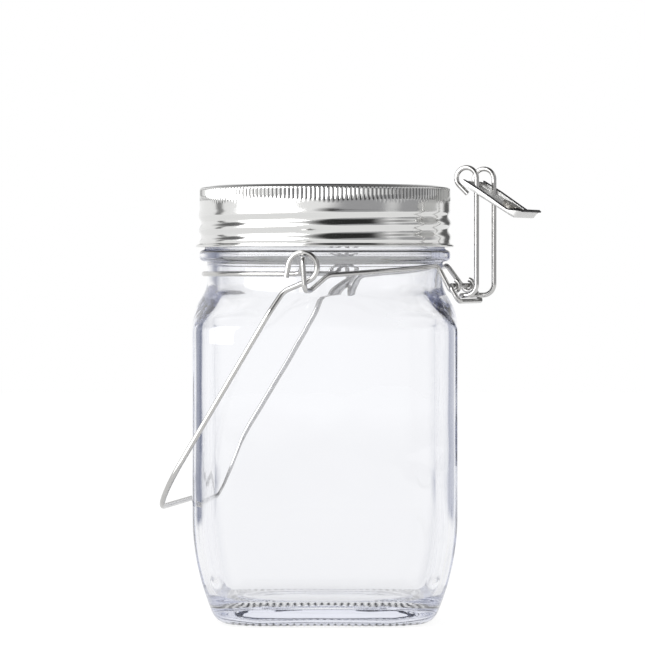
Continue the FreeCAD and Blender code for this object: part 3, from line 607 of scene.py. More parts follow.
TAPER_TOP = 44.0
TAPER_RADIUS = 106.0
SHOULDER_BOTTOM = 118.0
SHOULDER_RADIUS = 25.4
HOLLOW_RADIUS = 12.75
SHOULDER_STEPS = 12
NECK_BOTTOM = 139.0
NECK_RADIUS = 48.2
BEAD_RADIUS = 51.4
FINISH_RADIUS = 49.2
GLASS_TOP = 168.5
MOUTH_RADIUS = 44.8
HEEL_RADIUS = 7.2
HEEL_STEPS = 12
NUB_OUT = 43.8
NUB_LEVEL = 18.2
NUB_REACH = 2.8
PUSH_UP = 2.5
PUSH_UP_RADIUS = 32.0
INNER_FLOOR = 8.0
INNER_HEEL_RADIUS = 9.0

# Levels of the rings up the sides, and down the taper outside and inside, closer where the nubs stand
SIDE_LEVELS = 60, 80, 100, 112, SHOULDER_BOTTOM
FOOT_LEVELS = 41, 38, 35, 32, 29, 26, 24, 22, 20, 19, 18, 17, 16, 14, 12, 10, 8, 6.5, 5.3
FLOOR_LEVELS = 41, 38, 35, 32, 29, 26, 23, 20, 17, 15.5

# Half width and corner of the square that each shell starts from, before its sides bow
OUTER_SQUARE = 54.0, 20.8
INNER_SQUARE = 50.6, 17.35
SIDE_CUTS = 35
CORNER_CUTS = 24
BOW_SHARE = 0.1286

# Lean of the bowed sides at a corner, in degrees, and what the shoulder adds to it
SIDE_LEAN = 4.0
SHOULDER_LEAN = 18.5


class OpenLoop:
    """The open end of a shell: its level, and its half width, corner reach and mean radius."""

    def __init__(self, half, reach, mean, level):
        self.half = half
        self.reach = reach
        self.mean = mean
        self.level = level

    def copy(self):
        return OpenLoop(self.half, self.reach, self.mean, self.level)

    def swell(self, factor):
        """Scale the selected loop evenly about the axis."""
        bpy.ops.transform.resize(value=(factor, factor, 1), center_override=(0, 0, self.level * MM))
        self.half *= factor
        self.reach *= factor
        self.mean *= factor

    def soften(self, share):
        """Bring the selected loop a share of the way to a circle."""
        bpy.ops.transform.tosphere(value=share, center_override=(0, 0, self.level * MM))
        self.half += (self.mean - self.half) * share
        self.reach += (self.mean - self.reach) * share

    def grow(self, half, reach, level):
        """Extrude the loop to a half width, a corner reach and a level."""
        extrude(0, 0, (level - self.level) * MM)
        self.level = level
        ratio = max(reach / half, 1.0)
        excess = self.reach - ratio * self.half
        if excess > 0:
            self.soften(excess / (excess + self.mean * (ratio - 1)))
        self.swell(half / self.half)

    def close(self, level):
        """Draw the loop together at the axis."""
        extrude(0, 0, (level - self.level) * MM)
        bpy.ops.mesh.merge(type="CENTER")


def start_shell(name, half, corner):
    """Loop of the body at the top of its taper: a square with round corners and bowed sides."""
    shell = add_sheet(name, (0, 0, TAPER_TOP * MM), 2 * half * MM, 2 * half * MM)
    edit_mode()
    select_all()
    bpy.ops.mesh.bevel(offset=corner * MM, segments=CORNER_CUTS, affect="VERTICES", clamp_overlap=False)
    select_all()
    bpy.ops.mesh.delete(type="ONLY_FACE")
    object_mode()
    points = shell.data.vertices
    for edge in shell.data.edges:
        run = points[edge.vertices[0]].co - points[edge.vertices[1]].co
        edge.select = run.length > corner * MM
    edit_mode()
    bpy.ops.mesh.subdivide(number_cuts=SIDE_CUTS)
    object_mode()
    radii = [math.hypot(point.co.x, point.co.y) / MM for point in shell.data.vertices]
    loop = OpenLoop(half, max(radii), sum(radii) / len(radii), TAPER_TOP)
    edit_mode()
    select_all()
    loop.soften(BOW_SHARE)
    return shell, loop


def raise_wall(shell, loop, stations):
    """Extrude a shell up its straight sides, and on over the shoulder and up the neck."""
    pick(shell, "EDGE", at(z=TAPER_TOP * MM))
    for level in SIDE_LEVELS:
        loop.grow(loop.half, loop.reach, level)
    for station in stations:
        loop.grow(*station)


def corner_reach(half, corner, lean):
    """Distance from the axis to the middle of a corner, for bowed sides."""
    lean = math.radians(lean)
    hub = (half - corner) / (1 - math.cos(lean) + math.sin(lean)) * math.sin(lean)
    return hub * math.sqrt(2) + corner


def taper_station(sizes, level, inset):
    drop = math.sqrt(TAPER_RADIUS ** 2 - (TAPER_TOP - level) ** 2)
    half = sizes.body_half / MM - TAPER_RADIUS + drop - inset
    return half, corner_reach(half, sizes.corner / MM - inset, SIDE_LEAN), level


def heel_places(sizes, inset, floor, radius):
    """Rounded heel between the tapered wall and a level floor."""
    level = floor + radius
    reach = TAPER_RADIUS - inset - radius
    wall = sizes.body_half / MM - TAPER_RADIUS + math.sqrt(reach ** 2 - (TAPER_TOP - level) ** 2)
    first = math.degrees(math.asin((level - TAPER_TOP) / reach))
    return arc((wall, level), radius, first, -90, HEEL_STEPS)


def shoulder_stations(sizes, inset):
    """Over the shoulder from the straight sides to the round neck."""
    body, corner = sizes.body_half / MM, sizes.corner / MM
    drop = (body - NECK_RADIUS) / (SHOULDER_RADIUS + HOLLOW_RADIUS)
    lean = math.degrees(math.acos(1 - drop))
    crown = arc((body - SHOULDER_RADIUS, SHOULDER_BOTTOM), SHOULDER_RADIUS, 0, lean, SHOULDER_STEPS)
    hollow = arc((NECK_RADIUS + HOLLOW_RADIUS, NECK_BOTTOM), HOLLOW_RADIUS, 180 + lean, 180, SHOULDER_STEPS)
    stations = []
    for half, level in crown[1:] + hollow[1:]:
        share = min((level - SHOULDER_BOTTOM) / (NECK_BOTTOM - SHOULDER_BOTTOM), 1.0)
        ease = share * share * (3 - 2 * share)
        eased = corner + (half - corner) * ease
        reach = corner_reach(half - inset, eased - inset, SIDE_LEAN + SHOULDER_LEAN * ease)
        stations.append((half - inset, reach, level))
    return stations


def round_stations(places):
    return [(radius, radius, level) for radius, level in places]


def heel_rings(loop, sizes, inset, floor, radius, levels, margins):
    """Taper of a shell, its rounded heel, and the rings just inside the heel on its floor."""
    for level in levels:
        loop.grow(*taper_station(sizes, level, inset))
    ratio = loop.reach / loop.half
    for half, level in heel_places(sizes, inset, floor, radius):
        loop.grow(half, half * ratio, level)
    edge = loop.half
    for margin in margins:
        loop.grow(edge - margin, (edge - margin) * ratio, floor)


def foot_rings(loop, sizes):
    """Taper, heel, notched bearing ring and push-up, down to the middle of the base."""
    heel_rings(loop, sizes, 0, 0.0, HEEL_RADIUS, FOOT_LEVELS, (0.7, 1.3, 3.6, 4.2))
    for radius in (PUSH_UP_RADIUS + 1, PUSH_UP_RADIUS):
        loop.grow(radius, radius, 0.0)
    dome = (PUSH_UP_RADIUS ** 2 + PUSH_UP ** 2) / (2 * PUSH_UP)
    for radius in (31.0, 28.0, 24.0, 20.0, 16.0, 12.0, 8.0, 4.0):
        loop.grow(radius, radius, PUSH_UP - dome + math.sqrt(dome ** 2 - radius ** 2))
    loop.close(PUSH_UP)


def inner_floor_rings(loop, sizes, wall):
    """Taper, heel and level floor of the inside."""
    heel_rings(loop, sizes, wall, INNER_FLOOR, INNER_HEEL_RADIUS, FLOOR_LEVELS, (1.0,))
    for radius in (33.0, 28.0, 22.0, 16.0, 10.0, 4.0):
        loop.grow(radius, radius, INNER_FLOOR)
    loop.close(INNER_FLOOR)


def neck_places():
    """Neck, bead and finish of the glass, each corner eased as moulded glass is."""
    neck = [(NECK_RADIUS, level) for level in (140.5, 143.5, 145.2)]
    bead = [(48.35, 145.85), (48.9, 146.25), (49.7, 146.35), (50.6, 146.6), (51.2, 147.2),
            (BEAD_RADIUS, 148.0), (BEAD_RADIUS, 149.4), (51.2, 150.2), (50.6, 150.85), (49.9, 151.05),
            (49.45, 151.2), (49.22, 151.7)]
    finish = [(FINISH_RADIUS, level) for level in (153.0, 158.0, 163.0, 166.6)]
    rim = [(49.1, 167.5), (48.75, 168.15), (48.1, 168.48), (47.2, GLASS_TOP)]
    return neck + bead + finish + rim


def mouth_places():
    """Inside of the neck, up to the rounded rim."""
    return [(MOUTH_RADIUS, level) for level in (141, 150, 160, 167)] + [(44.95, 168.0), (45.4, 168.45)]


class LANTERN_OT_glass_jar(bpy.types.Operator):
    """Model the glass jar as two shells joined at the rim"""

    bl_idname = "lantern.glass_jar"
    bl_label = "Glass jar"

    def execute(self, context):
        sizes = context.scene.lantern_jar
        body, wall = sizes.body_half / MM, sizes.wall / MM
        inner, loop = start_shell("jar_inside", *INNER_SQUARE)
        loop.swell((body - wall) / loop.half)
        inner_floor_rings(loop.copy(), sizes, wall)
        raise_wall(inner, loop, shoulder_stations(sizes, wall) + round_stations(mouth_places()))
        outer, loop = start_shell("jar_glass", *OUTER_SQUARE)
        loop.swell(body / loop.half)
        foot_rings(loop.copy(), sizes)
        raise_wall(outer, loop, shoulder_stations(sizes, 0) + round_stations(neck_places()))
        self.join_rims(inner, outer)
        self.cut_teeth(outer, sizes.tooth_rise)
        face_outwards(SAME_PLACE)
        smooth(50)
        self.raise_nubs(outer, sizes.nub_rise)
        glass = jar_glass_finish(context.scene.lantern_colours)
        hand_over(outer, "jar", glass, "clear_glass", "glass_jar")
        return {"FINISHED"}

    def join_rims(self, inner, outer):
        """Make the two shells one mesh and bridge the gap between their rims."""
        clear_selection()
        inner.select_set(True)
        outer.select_set(True)
        bpy.context.view_layer.objects.active = outer
        bpy.ops.object.join()
        inside, outside, bottom = 45.0 * MM, 47.6 * MM, GLASS_TOP * MM - 0.1 * MM
        pick(outer, "EDGE", lambda point: inside < point.xy.length < outside and point.z > bottom)
        bpy.ops.mesh.bridge_edge_loops()

    def cut_teeth(self, jar, rise):
        """Lift every second column at the edge of the foot, which leaves a ring of small teeth."""
        ring_top, ring_inside, fade, depth = 0.7 * MM, 34 * MM, 0.75, 8
        object_mode()
        columns = {}
        for vertex in jar.data.vertices:
            place = vertex.co.copy()
            if place.z < ring_top and place.xy.length > ring_inside:
                columns.setdefault(round(math.atan2(place.y, place.x), 3), []).append(place)
        turns = sorted(columns)
        front = min(range(len(turns)), key=lambda index: abs(turns[index] + math.pi / 2))
        levels = {}
        for turn in turns[1 - front % 2::2]:
            outermost = sorted(columns[turn], key=lambda place: -place.xy.length)[:depth]
            for place in outermost:
                levels.setdefault(round(place.z / MM, 2), set()).add(tuple(place))
        for level, places in levels.items():
            pick(jar, "VERT", lambda point: tuple(point) in places)
            lift(rise * (1 - level / fade))

    def raise_nubs(self, jar, rise):
        """Pull a small nub out of the heel at the two front corners."""
        for side in (-1, 1):
            spot = Vector((side * NUB_OUT, -NUB_OUT, NUB_LEVEL)) * MM
            places = [vertex.co.copy() for vertex in jar.data.vertices]
            tip = min(places, key=lambda place: (place - spot).length)
            pick(jar, "VERT", lambda point: (point - tip).length < 0.1 * SAME_PLACE)
            bpy.ops.transform.translate(
                value=Vector((side, -1, -0.25)).normalized() * rise, use_proportional_edit=True,
                use_proportional_connected=True, proportional_edit_falloff="SMOOTH",
                proportional_size=NUB_REACH * MM)
        object_mode()


# Screw band, in millimetres, with the thread's start, end and fade in turns

RIB_COLUMNS = 4
RIB_INSIDE = 50.3
THREAD_RADIUS = 51.7
THREAD_LEVEL = 153.5
THREAD_PITCH = 5.6
THREAD_START = -0.12
THREAD_END = 2.2
THREAD_FADE = 0.2
GROOVE_BOTTOM = 153.9
GROOVE_TOP = 167.9
GROOVE_FADE = 0.6


def band_profile():
    """Section of the band from its opening, over the edge, down the wall and round the hem."""
    opening = [(45.0, 177.1), (45.15, 177.25), (47.5, 176.88)]
    edge = arc((50.0, 175.2), 1.3, 90, 0, 5)
    wall = [(BAND_RADIUS, level) for level in (174.8, 173.2, 171.4, 170.9, 169.4, 167.8)]
    flare = [(51.34, 167.3), (51.44, 166.8), (51.56, 166.3), (51.66, 165.8)]
    thread = [(THREAD_RADIUS, 165.3 - 0.5 * index) for index in range(22)]
    waist = [(51.6, 154.3), (51.42, 153.95), (51.42, 153.6), (51.7, 153.3), (52.2, 153.12)]
    hem = arc((52.42, 152.6), 0.5, 90, -90, 6) + [(51.8, 152.1), (50.9, 152.15), (50.6, 152.4)]
    return opening + edge + wall + flare + thread + waist + hem


def share_of(value, full):
    """Value as a share of a full amount, held between none and all."""
    return min(max(value / full, 0.0), 1.0)


def thread_depth(point):
    """Share of the groove's full depth at a place on the wall, for a right-hand thread."""
    turn = math.atan2(point.y, point.x) / math.tau % 1.0
    level = point.z / MM
    depth = 0.0
    for count in range(-1, 3):
        along = turn + count
        away = abs(level - THREAD_LEVEL - THREAD_PITCH * along) / (THREAD_PITCH / 2)
        ends = share_of(along - THREAD_START, THREAD_FADE) * share_of(THREAD_END - along, THREAD_FADE)
        if away < 1.0:
            depth = max(depth, ends * 0.5 * (1 + math.cos(math.pi * away)))
    return depth * share_of(level - GROOVE_BOTTOM, GROOVE_FADE)


class LANTERN_OT_screw_band(bpy.types.Operator):
    """Model one rib of the screw band from its section and repeat it round the axis"""

    bl_idname = "lantern.screw_band"
    bl_label = "Screw band"

    def execute(self, context):
        sizes = context.scene.lantern_band
        pitch = math.tau / sizes.rib_count
        rest = sizes.rib_count - 1
        band = self.draw_section()
        bpy.ops.mesh.spin(steps=RIB_COLUMNS, angle=pitch, center=(0, 0, 0), axis=(0, 0, 1))
        for share, columns in ((1.0, (0, 4)), (0.35, (1, 3))):
            self.sink_columns(band, pitch, columns, sizes.rib_depth * share)
        select_all()
        bpy.ops.mesh.spin(steps=rest, dupli=True, angle=pitch * rest, center=(0, 0, 0), axis=(0, 0, 1))
        face_outwards(2 * SAME_PLACE)
        smooth(40)
        self.face_out(band)
        self.roll_thread(band, sizes.groove_depth)
        add_modifier(band, "SOLIDIFY", thickness=sizes.gauge, offset=-1)
        smooth(40)
        tinplate = lid_finish(context.scene.lantern_colours)
        hand_over(band, "band", tinplate, "lid_steel", "screw_band")
        return {"FINISHED"}

    def draw_section(self):
        """Draw the section from one vertex, edge by edge, and leave all of it selected."""
        section = band_profile()
        band = add_sheet("lid_band", (section[0][0] * MM, 0, section[0][1] * MM), MM, MM)
        edit_mode()
        select_all()
        bpy.ops.mesh.merge(type="CENTER")
        bpy.context.tool_settings.mesh_select_mode = (True, False, False)
        select_all()
        for last, following in zip(section, section[1:]):
            step = ((following[0] - last[0]) * MM, 0, (following[1] - last[1]) * MM)
            bpy.ops.mesh.extrude_vertices_move(TRANSFORM_OT_translate={"value": step})
        select_all()
        return band

    def sink_columns(self, band, pitch, columns, depth):
        """Press some columns of one rib in, between the top edge and the plain wall."""
        turns = [pitch / RIB_COLUMNS * column for column in columns]
        slack = pitch / 40

        def in_rib(point):
            turn = abs(math.atan2(point.y, point.x))
            return (RIB_BOTTOM * MM < point.z < RIB_TOP * MM and point.xy.length > RIB_INSIDE * MM
                    and any(abs(turn - place) < slack for place in turns))

        pick(band, "VERT", in_rib)
        sunk = 1 - depth / (BAND_RADIUS * MM)
        bpy.ops.transform.resize(value=(sunk, sunk, 1), center_override=(0, 0, 0))

    def face_out(self, band):
        """Turn the sheet's faces over if its wall faces the axis."""
        level, reach = 168 * MM, 1.1 * MM
        wall = next(face for face in band.data.polygons if abs(face.center.z - level) < reach)
        if wall.normal.xy.dot(wall.center.xy) < 0:
            edit_mode()
            select_all()
            bpy.ops.mesh.flip_normals()
            object_mode()

    def roll_thread(self, band, depth):
        """Press the thread groove into the wall, by weights that follow its turns."""
        thread = band.vertex_groups.new(name="thread")
        for vertex in band.data.vertices:
            if GROOVE_BOTTOM * MM < vertex.co.z < GROOVE_TOP * MM:
                thread.add([vertex.index], thread_depth(vertex.co), "REPLACE")
        add_modifier(band, "DISPLACE", strength=-depth, mid_level=0.0, vertex_group=thread.name)
        band.vertex_groups.clear()


# Wires, pin and screws, which keep their CAD shape


class LANTERN_OT_wire_work(bpy.types.Operator):
    """Finish the bent wires, the clip's pin and the hatch screws"""

    bl_idname = "lantern.wire_work"
    bl_label = "Wire work"

    def execute(self, context):
        wire = steel_finish(
            "drawn_wire", context.scene.lantern_colours.wire_steel,
            roughness=0.17, spread=0.14, grain=2200.0, marks=140.0, height=0.1)
        dress(wire, "neck_wire", "handle", "hinge_ring", "clip_link", "clip_pin")
        screw = steel_finish(
            "zinc_screw", (0.66, 0.66, 0.62),
            roughness=0.3, spread=0.2, grain=2600.0, marks=300.0, height=0.15)
        dress(screw, "cover_screws")
        return {"FINISHED"}


# Clip plate, modelled flat with its pin at the origin

PLATE_PLACE = Vector((61.081, -14.589, 177.9)) * MM
PLATE_TURN = Euler((0, math.radians(31.5), math.radians(-18)))
PLATE_FLOOR = -1.25 * MM
PLATE_BACK = -0.9 * MM
PLATE_SLOT = 7.5 * MM
CHEEK_DIP = 20.5 * MM
PLATE_FRONT = 24.7 * MM
PLATE_SIDE = 14.6 * MM
SLOT_SIDE = 11.7 * MM
NOSE_END = -1.8 * MM
NOSE_ROUND = 1.1 * MM
LIP_REACH = 1.5 * MM
DIP_DEPTH = 0.7 * MM
EDGE_BREAK = 0.12 * MM
# Depth of the painted shade line under the top of the cheeks and the end wall
RIM_SHADE_LINE = 0.6 * MM


class LANTERN_OT_clip_plate(bpy.types.Operator):
    """Press the clip plate from one sheet, and finish its magnet"""

    bl_idname = "lantern.clip_plate"
    bl_label = "Clip plate"

    def execute(self, context):
        sizes = context.scene.lantern_plate
        plate = self.fold_sheet(sizes.cheek_rise, sizes.rim_rise)
        self.thicken(plate, sizes)
        put_in_place(plate, PLATE_PLACE, PLATE_TURN)
        steel = steel_finish(
            "pressed_steel", (0.82, 0.82, 0.81),
            roughness=0.5, spread=0.1, grain=500.0, marks=120.0, height=0.01)
        self.paint_rim_shade(steel, sizes)
        hand_over(plate, "plate", steel, "plate_steel", "clip_plate")
        magnet = steel_finish(
            "nickel", (0.66, 0.64, 0.6),
            roughness=0.18, spread=0.12, grain=1500.0, marks=200.0, height=0.05)
        dress(magnet, "clip_magnet")
        return {"FINISHED"}

    def fold_sheet(self, rise, rim):
        """Floor with two slots, then the cheeks, their noses, the end wall and the finger lip."""
        middle = (PLATE_BACK + PLATE_FRONT) / 2, 0, PLATE_FLOOR
        plate = add_sheet("clip_tray", middle, PLATE_FRONT - PLATE_BACK, 2 * PLATE_SIDE)
        edit_mode()
        along, across = (1, 0, 0), (0, 1, 0)
        for place, axis in (((PLATE_SLOT, 0, 0), along), ((CHEEK_DIP, 0, 0), along),
                            ((0, SLOT_SIDE, 0), across), ((0, -SLOT_SIDE, 0), across)):
            select_all()
            bpy.ops.mesh.bisect(plane_co=place, plane_no=axis)
        pick(plate, "FACE", lambda face: face.center.x < PLATE_SLOT and abs(face.center.y) > SLOT_SIDE)
        bpy.ops.mesh.delete(type="FACE")
        pick(plate, "EDGE", lambda point: near(abs(point.y), PLATE_SIDE))
        extrude(0, 0, rise - PLATE_FLOOR)
        pick(plate, "EDGE", lambda point: near(abs(point.y), PLATE_SIDE) and near(point.x, PLATE_SLOT))
        extrude(NOSE_END - PLATE_SLOT, 0, 0)
        pick(plate, "VERT", at(x=NOSE_END))
        bpy.ops.mesh.bevel(offset=NOSE_ROUND, segments=5, affect="VERTICES")
        pick(plate, "VERT", at(x=PLATE_FRONT, z=rise))
        lift(rim - rise)
        pick(plate, "VERT", at(x=CHEEK_DIP, z=rise))
        lift(-DIP_DEPTH)
        pick(plate, "EDGE", at(x=PLATE_FRONT, z=PLATE_FLOOR))
        extrude(0, 0, rim - PLATE_FLOOR)
        select_all()
        bpy.ops.mesh.remove_doubles(threshold=SAME_PLACE)
        pick(plate, "EDGE", at(x=PLATE_FRONT, z=rim))
        extrude(LIP_REACH, 0, 0)
        select_all()
        bpy.ops.mesh.normals_make_consistent(inside=False)
        object_mode()
        return plate

    def thicken(self, plate, sizes):
        """Round the folds, give the sheet its gauge and break its cut edges."""
        add_modifier(plate, "BEVEL", width=sizes.fold, segments=4, angle_limit=math.radians(40))
        add_modifier(plate, "SOLIDIFY", thickness=sizes.gauge, offset=0.0, use_even_offset=True)
        add_modifier(plate, "BEVEL", width=EDGE_BREAK, segments=2, angle_limit=math.radians(50))
        smooth(40)

    def paint_rim_shade(self, steel, sizes):
        """Paint a near-black line of shade along the top of the cheeks and the end wall, where the cut edge
        is.
        """
        nodes = ShaderTree(steel.node_tree)
        colour = nodes.tree.nodes["Principled BSDF"].inputs["Base Color"]
        flat = nodes.put("ShaderNodeMapping", {
            "Vector": nodes.place(), "Location": PLATE_PLACE, "Rotation": PLATE_TURN}, vector_type="TEXTURE")
        axes = nodes.split(flat.outputs["Vector"])
        high, low = sizes.cheek_rise, sizes.cheek_rise - DIP_DEPTH
        fall = nodes.map_range(axes["X"], PLATE_SLOT, CHEEK_DIP, high - RIM_SHADE_LINE, low - RIM_SHADE_LINE)
        climb = nodes.map_range(axes["X"], CHEEK_DIP, PLATE_FRONT, 0.0, sizes.rim_rise - low)
        # Painted shade: the band above this line turns near black
        edge = nodes.maths("GREATER_THAN", axes["Z"], nodes.maths("ADD", fall, climb))
        bare = colour.links[0].from_socket
        nodes.join(nodes.blend(edge, bare, (0.03, 0.03, 0.032)), colour)


# Solar module and seal, which keep their CAD shape


class LANTERN_OT_solar_module(bpy.types.Operator):
    """Finish the solar module, its boards, cells, lamps and batteries, and the seal below it"""

    bl_idname = "lantern.solar_module"
    bl_label = "Solar module"

    def execute(self, context):
        colours = context.scene.lantern_colours
        plastic = plastic_finish("housing_plastic", colours.plastic, roughness=0.42, skin=1900.0)
        dress(plastic, "module_housing", "battery_cover")
        rubber = plastic_finish("seal_rubber", colours.rubber, roughness=0.62, skin=2400.0)
        dress(rubber, "seal_ring")
        epoxy = plastic_finish("chip_epoxy", (0.018, 0.018, 0.019), roughness=0.5, skin=2600.0)
        dress(epoxy, "driver_chip")
        dress(clear_window_finish(), "panel_window")
        dress(board_finish(colours), "solar_board", "led_board")
        dress(cell_finish(colours), "solar_cells")
        dress(lamp_finish(), "leds")
        dress(sleeve_finish(colours), "battery_cells")
        dress(reed_finish(), "reed_switch")
        contact = steel_finish(
            "contact_nickel", (0.74, 0.71, 0.64),
            roughness=0.25, spread=0.15, grain=1900.0, marks=260.0, height=0.1)
        dress(contact, "battery_contacts", "board_pins")
        return {"FINISHED"}


# Stage, in metres

FLOOR_WIDTH = 6.0
FLOOR_DROP = 0.4 * MM
LAMP_AIM = 0, 0, 0.1
CARD_AIM = 0, 0, 0.12
CAMERA_SHIFT = -1.02 * MM
LIGHT_BOUNCES = 96

# Distances from the jar between which the floor's glow rises, the glow at each, and its share of the floor;
# the lower glow near the jar is painted shade
GLOW_START, GLOW_END = 0.3, 2.6
GLOW_NEAR, GLOW_FAR = 0.83, 1.05
GLOW_SHARE = 0.86

# Name, place, width and height, power, and whether mirrors show it
LAMPS = (
    ("key_softbox", (-1.25, -0.85, 0.8), (1.9, 1.5), 34, True),
    ("fill_softbox", (1.3, -0.6, 0.7), (0.6, 1.0), 9, False),
    ("top_softbox", (0.1, 0.3, 1.5), (0.9, 0.9), 15, False),
)

# Name, place, width and height, and colour of the cards that mirrors show
MIRRORED_CARDS = (
    ("card_right_front", (0.75, -1.1, 0.3), (1.7, 1.3), (0.4, 0.4, 0.41)),
    ("card_right_side", (1.3, 0.05, 0.3), (1.7, 1.3), (0.4, 0.4, 0.41)),
    ("card_front_top", (0.45, -0.95, 1.05), (1.9, 2.2), (0.03, 0.03, 0.03)),
    ("card_top", (0.35, 0.1, 1.45), (1.5, 2.6), (0.08, 0.08, 0.08)),
    ("card_back_top", (0.1, 1.2, 0.88), (1.4, 1.5), (0.06, 0.06, 0.06)),
    ("card_back_left", (-1.28, 0.52, 0.3), (0.34, 1.2), (0.25, 0.25, 0.25)),
    ("card_left_top", (-1.05, 0.5, 1.0), (1.3, 0.8), (0.15, 0.15, 0.15)),
    ("card_back_right", (0.62, 1.03, 0.3), (0.6, 1.2), (0.12, 0.12, 0.12)),
)

# The same for the cards that glass shows, two upright and two flat on the floor
CLEAR_CARDS = (
    ("card_left_edge", (-0.8, 0.7, 0.2), (1.3, 1.3), (0.19, 0.21, 0.29)),
    ("card_right_edge", (0.8, 0.7, 0.2), (1.3, 1.3), (0.46, 0.48, 0.56)),
    ("card_left_low", (-0.65, 0.75, 0.002), (0.9, 1.1), (0.19, 0.21, 0.29)),
    ("card_right_low", (0.65, 0.75, 0.002), (0.9, 1.1), (0.46, 0.48, 0.56)),
)


def stage_material(name):
    """New material without nodes, and its shader tree."""
    material = bpy.data.materials.new(name)
    material.use_nodes = True
    material.node_tree.nodes.clear()
    return material, ShaderTree(material.node_tree)


def seen_share(nodes):
    """One for rays that show the background: straight, mirrored or through glass."""
    path = nodes.put("ShaderNodeLightPath").outputs
    straight = nodes.maths("ADD", path["Is Camera Ray"], path["Is Glossy Ray"], clamp=True)
    return nodes.maths("ADD", straight, path["Is Transmission Ray"], clamp=True)


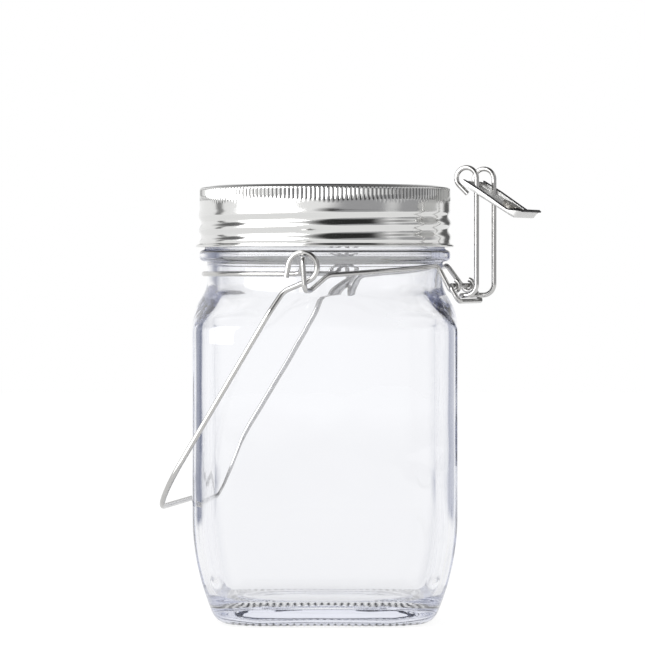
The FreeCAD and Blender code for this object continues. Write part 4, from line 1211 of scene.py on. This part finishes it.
class LANTERN_OT_stage(bpy.types.Operator):
    """Set up the pale floor, the white surroundings, the lamps, the cards and the camera"""

    bl_idname = "lantern.stage"
    bl_label = "Stage"

    def execute(self, context):
        scene = context.scene
        self.lay_floor()
        self.light_world(scene)
        self.hang_lamps(scene)
        self.stand_cards(MIRRORED_CARDS, through=False)
        self.stand_cards(CLEAR_CARDS, through=True)
        self.aim_camera(scene)
        scene.view_settings.view_transform = "Standard"
        scene.cycles.max_bounces = LIGHT_BOUNCES
        scene.cycles.transmission_bounces = LIGHT_BOUNCES
        scene.cycles.glossy_bounces = LIGHT_BOUNCES
        return {"FINISHED"}

    def lay_floor(self):
        """Pale floor with a glow, which is even in straight view and elsewhere weaker near the jar, as
        painted shade round it.
        """
        floor = add_sheet("floor", (0, 0, -FLOOR_DROP), FLOOR_WIDTH, FLOOR_WIDTH)
        material, nodes = stage_material("floor_white")
        distance = nodes.put("ShaderNodeVectorMath", {0: nodes.place()}, operation="LENGTH")
        # Painted shade: in what glass and steel show, the floor glows less near the jar
        level = nodes.map_range(distance.outputs["Value"], GLOW_START, GLOW_END, GLOW_NEAR, GLOW_FAR)
        straight = nodes.put("ShaderNodeLightPath").outputs["Is Camera Ray"]
        strength = nodes.maths("MAXIMUM", level, nodes.times(straight, GLOW_FAR))
        paper = nodes.put("ShaderNodeBsdfDiffuse", {"Color": (0.92, 0.92, 0.92)})
        glow = nodes.put("ShaderNodeEmission", {"Color": (1, 1, 1), "Strength": strength})
        nodes.mix_shaders(nodes.times(seen_share(nodes), GLOW_SHARE), paper, glow)
        floor.data.materials.append(material)

    def light_world(self, scene):
        """White room at full strength where it is seen, and at the ambient strength as light."""
        ambient = scene.lantern_stage.ambient
        world = bpy.data.worlds.new("white_room")
        world.use_nodes = True
        nodes = ShaderTree(world.node_tree)
        back = nodes.tree.nodes["Background"].inputs
        nodes.join((1, 1, 1), back["Color"])
        nodes.join(nodes.maths("MULTIPLY_ADD", seen_share(nodes), 1 - ambient, ambient), back["Strength"])
        scene.world = world

    def hang_lamps(self, scene):
        for name, place, size, power, mirrored in LAMPS:
            data = bpy.data.lights.new(name, "AREA")
            data.shape = "RECTANGLE"
            data.size, data.size_y = size
            data.energy = power
            lamp = bpy.data.objects.new(name, data)
            scene.collection.objects.link(lamp)
            lamp.location = place
            lamp.rotation_euler = facing(place, LAMP_AIM, "-Z")
            lamp.visible_camera = False
            lamp.visible_glossy = mirrored
            lamp.visible_transmission = False

    def stand_cards(self, cards, through):
        """Soft-edged cards outside the picture, which shade glass or polished steel."""
        for name, place, size, colour in cards:
            upright = place[2] > 0.1
            card = add_sheet(name, place, *size, facing(place, CARD_AIM, "Z") if upright else (0, 0, 0))
            card.data.materials.append(self.card_finish(name, colour))
            card.visible_camera = False
            card.visible_diffuse = False
            card.visible_shadow = False
            card.visible_transmission = through
            card.visible_glossy = not through

    def card_finish(self, name, colour):
        """Glow that fades out towards the edges of a card."""
        material, nodes = stage_material(name)
        axes = nodes.split(nodes.place("UV"))
        inward = [nodes.maths("PINGPONG", axes[axis], 0.5) for axis in "XY"]
        fades = [nodes.maths("MULTIPLY", share, 4.0, clamp=True) for share in inward]
        clear = nodes.put("ShaderNodeBsdfTransparent")
        glow = nodes.put("ShaderNodeEmission", {"Color": colour, "Strength": 1.0})
        nodes.mix_shaders(nodes.times(*fades), clear, glow)
        return material

    def aim_camera(self, scene):
        settings = scene.lantern_stage
        data = bpy.data.cameras.new("camera")
        data.lens = settings.lens
        data.sensor_width = 36.0
        data.clip_start = 0.05
        data.clip_end = 50.0
        camera = bpy.data.objects.new("camera", data)
        scene.collection.objects.link(camera)
        camera.location = (CAMERA_SHIFT, -settings.camera_distance, settings.camera_height)
        camera.rotation_euler = (math.pi / 2 - settings.camera_tilt, 0, 0)
        scene.camera = camera


# Panel and registration

GROUPS = (
    ("lantern_jar", "Jar", JarSizes),
    ("lantern_band", "Band", BandSizes),
    ("lantern_plate", "Clip plate", PlateSizes),
    ("lantern_colours", "Colours", LanternColours),
    ("lantern_stage", "Stage", StageSettings),
)

STEPS = (
    LANTERN_OT_glass_jar,
    LANTERN_OT_screw_band,
    LANTERN_OT_wire_work,
    LANTERN_OT_clip_plate,
    LANTERN_OT_solar_module,
    LANTERN_OT_stage,
)


class LANTERN_PT_panel(bpy.types.Panel):
    """Sidebar panel with the sizes, the colours and the steps of the lantern"""

    bl_label = "Jar lantern"
    bl_idname = "LANTERN_PT_panel"
    bl_space_type = "VIEW_3D"
    bl_region_type = "UI"
    bl_category = "Lantern"

    def draw(self, context):
        for name, title, group in GROUPS:
            box = self.layout.box()
            box.label(text=title)
            for setting in group.__annotations__:
                box.prop(getattr(context.scene, name), setting)
        for step in STEPS:
            self.layout.operator(step.bl_idname)


def register():
    for name, title, group in GROUPS:
        bpy.utils.register_class(group)
        setattr(bpy.types.Scene, name, PointerProperty(type=group))
    for step in STEPS:
        bpy.utils.register_class(step)
    bpy.utils.register_class(LANTERN_PT_panel)


def unregister():
    bpy.utils.unregister_class(LANTERN_PT_panel)
    for step in reversed(STEPS):
        bpy.utils.unregister_class(step)
    for name, title, group in GROUPS:
        delattr(bpy.types.Scene, name)
        bpy.utils.unregister_class(group)


def main():
    register()
    bpy.ops.lantern.glass_jar()
    bpy.ops.lantern.screw_band()
    bpy.ops.lantern.wire_work()
    bpy.ops.lantern.clip_plate()
    bpy.ops.lantern.solar_module()
    bpy.ops.lantern.stage()


if __name__ == "__main__":
    main()
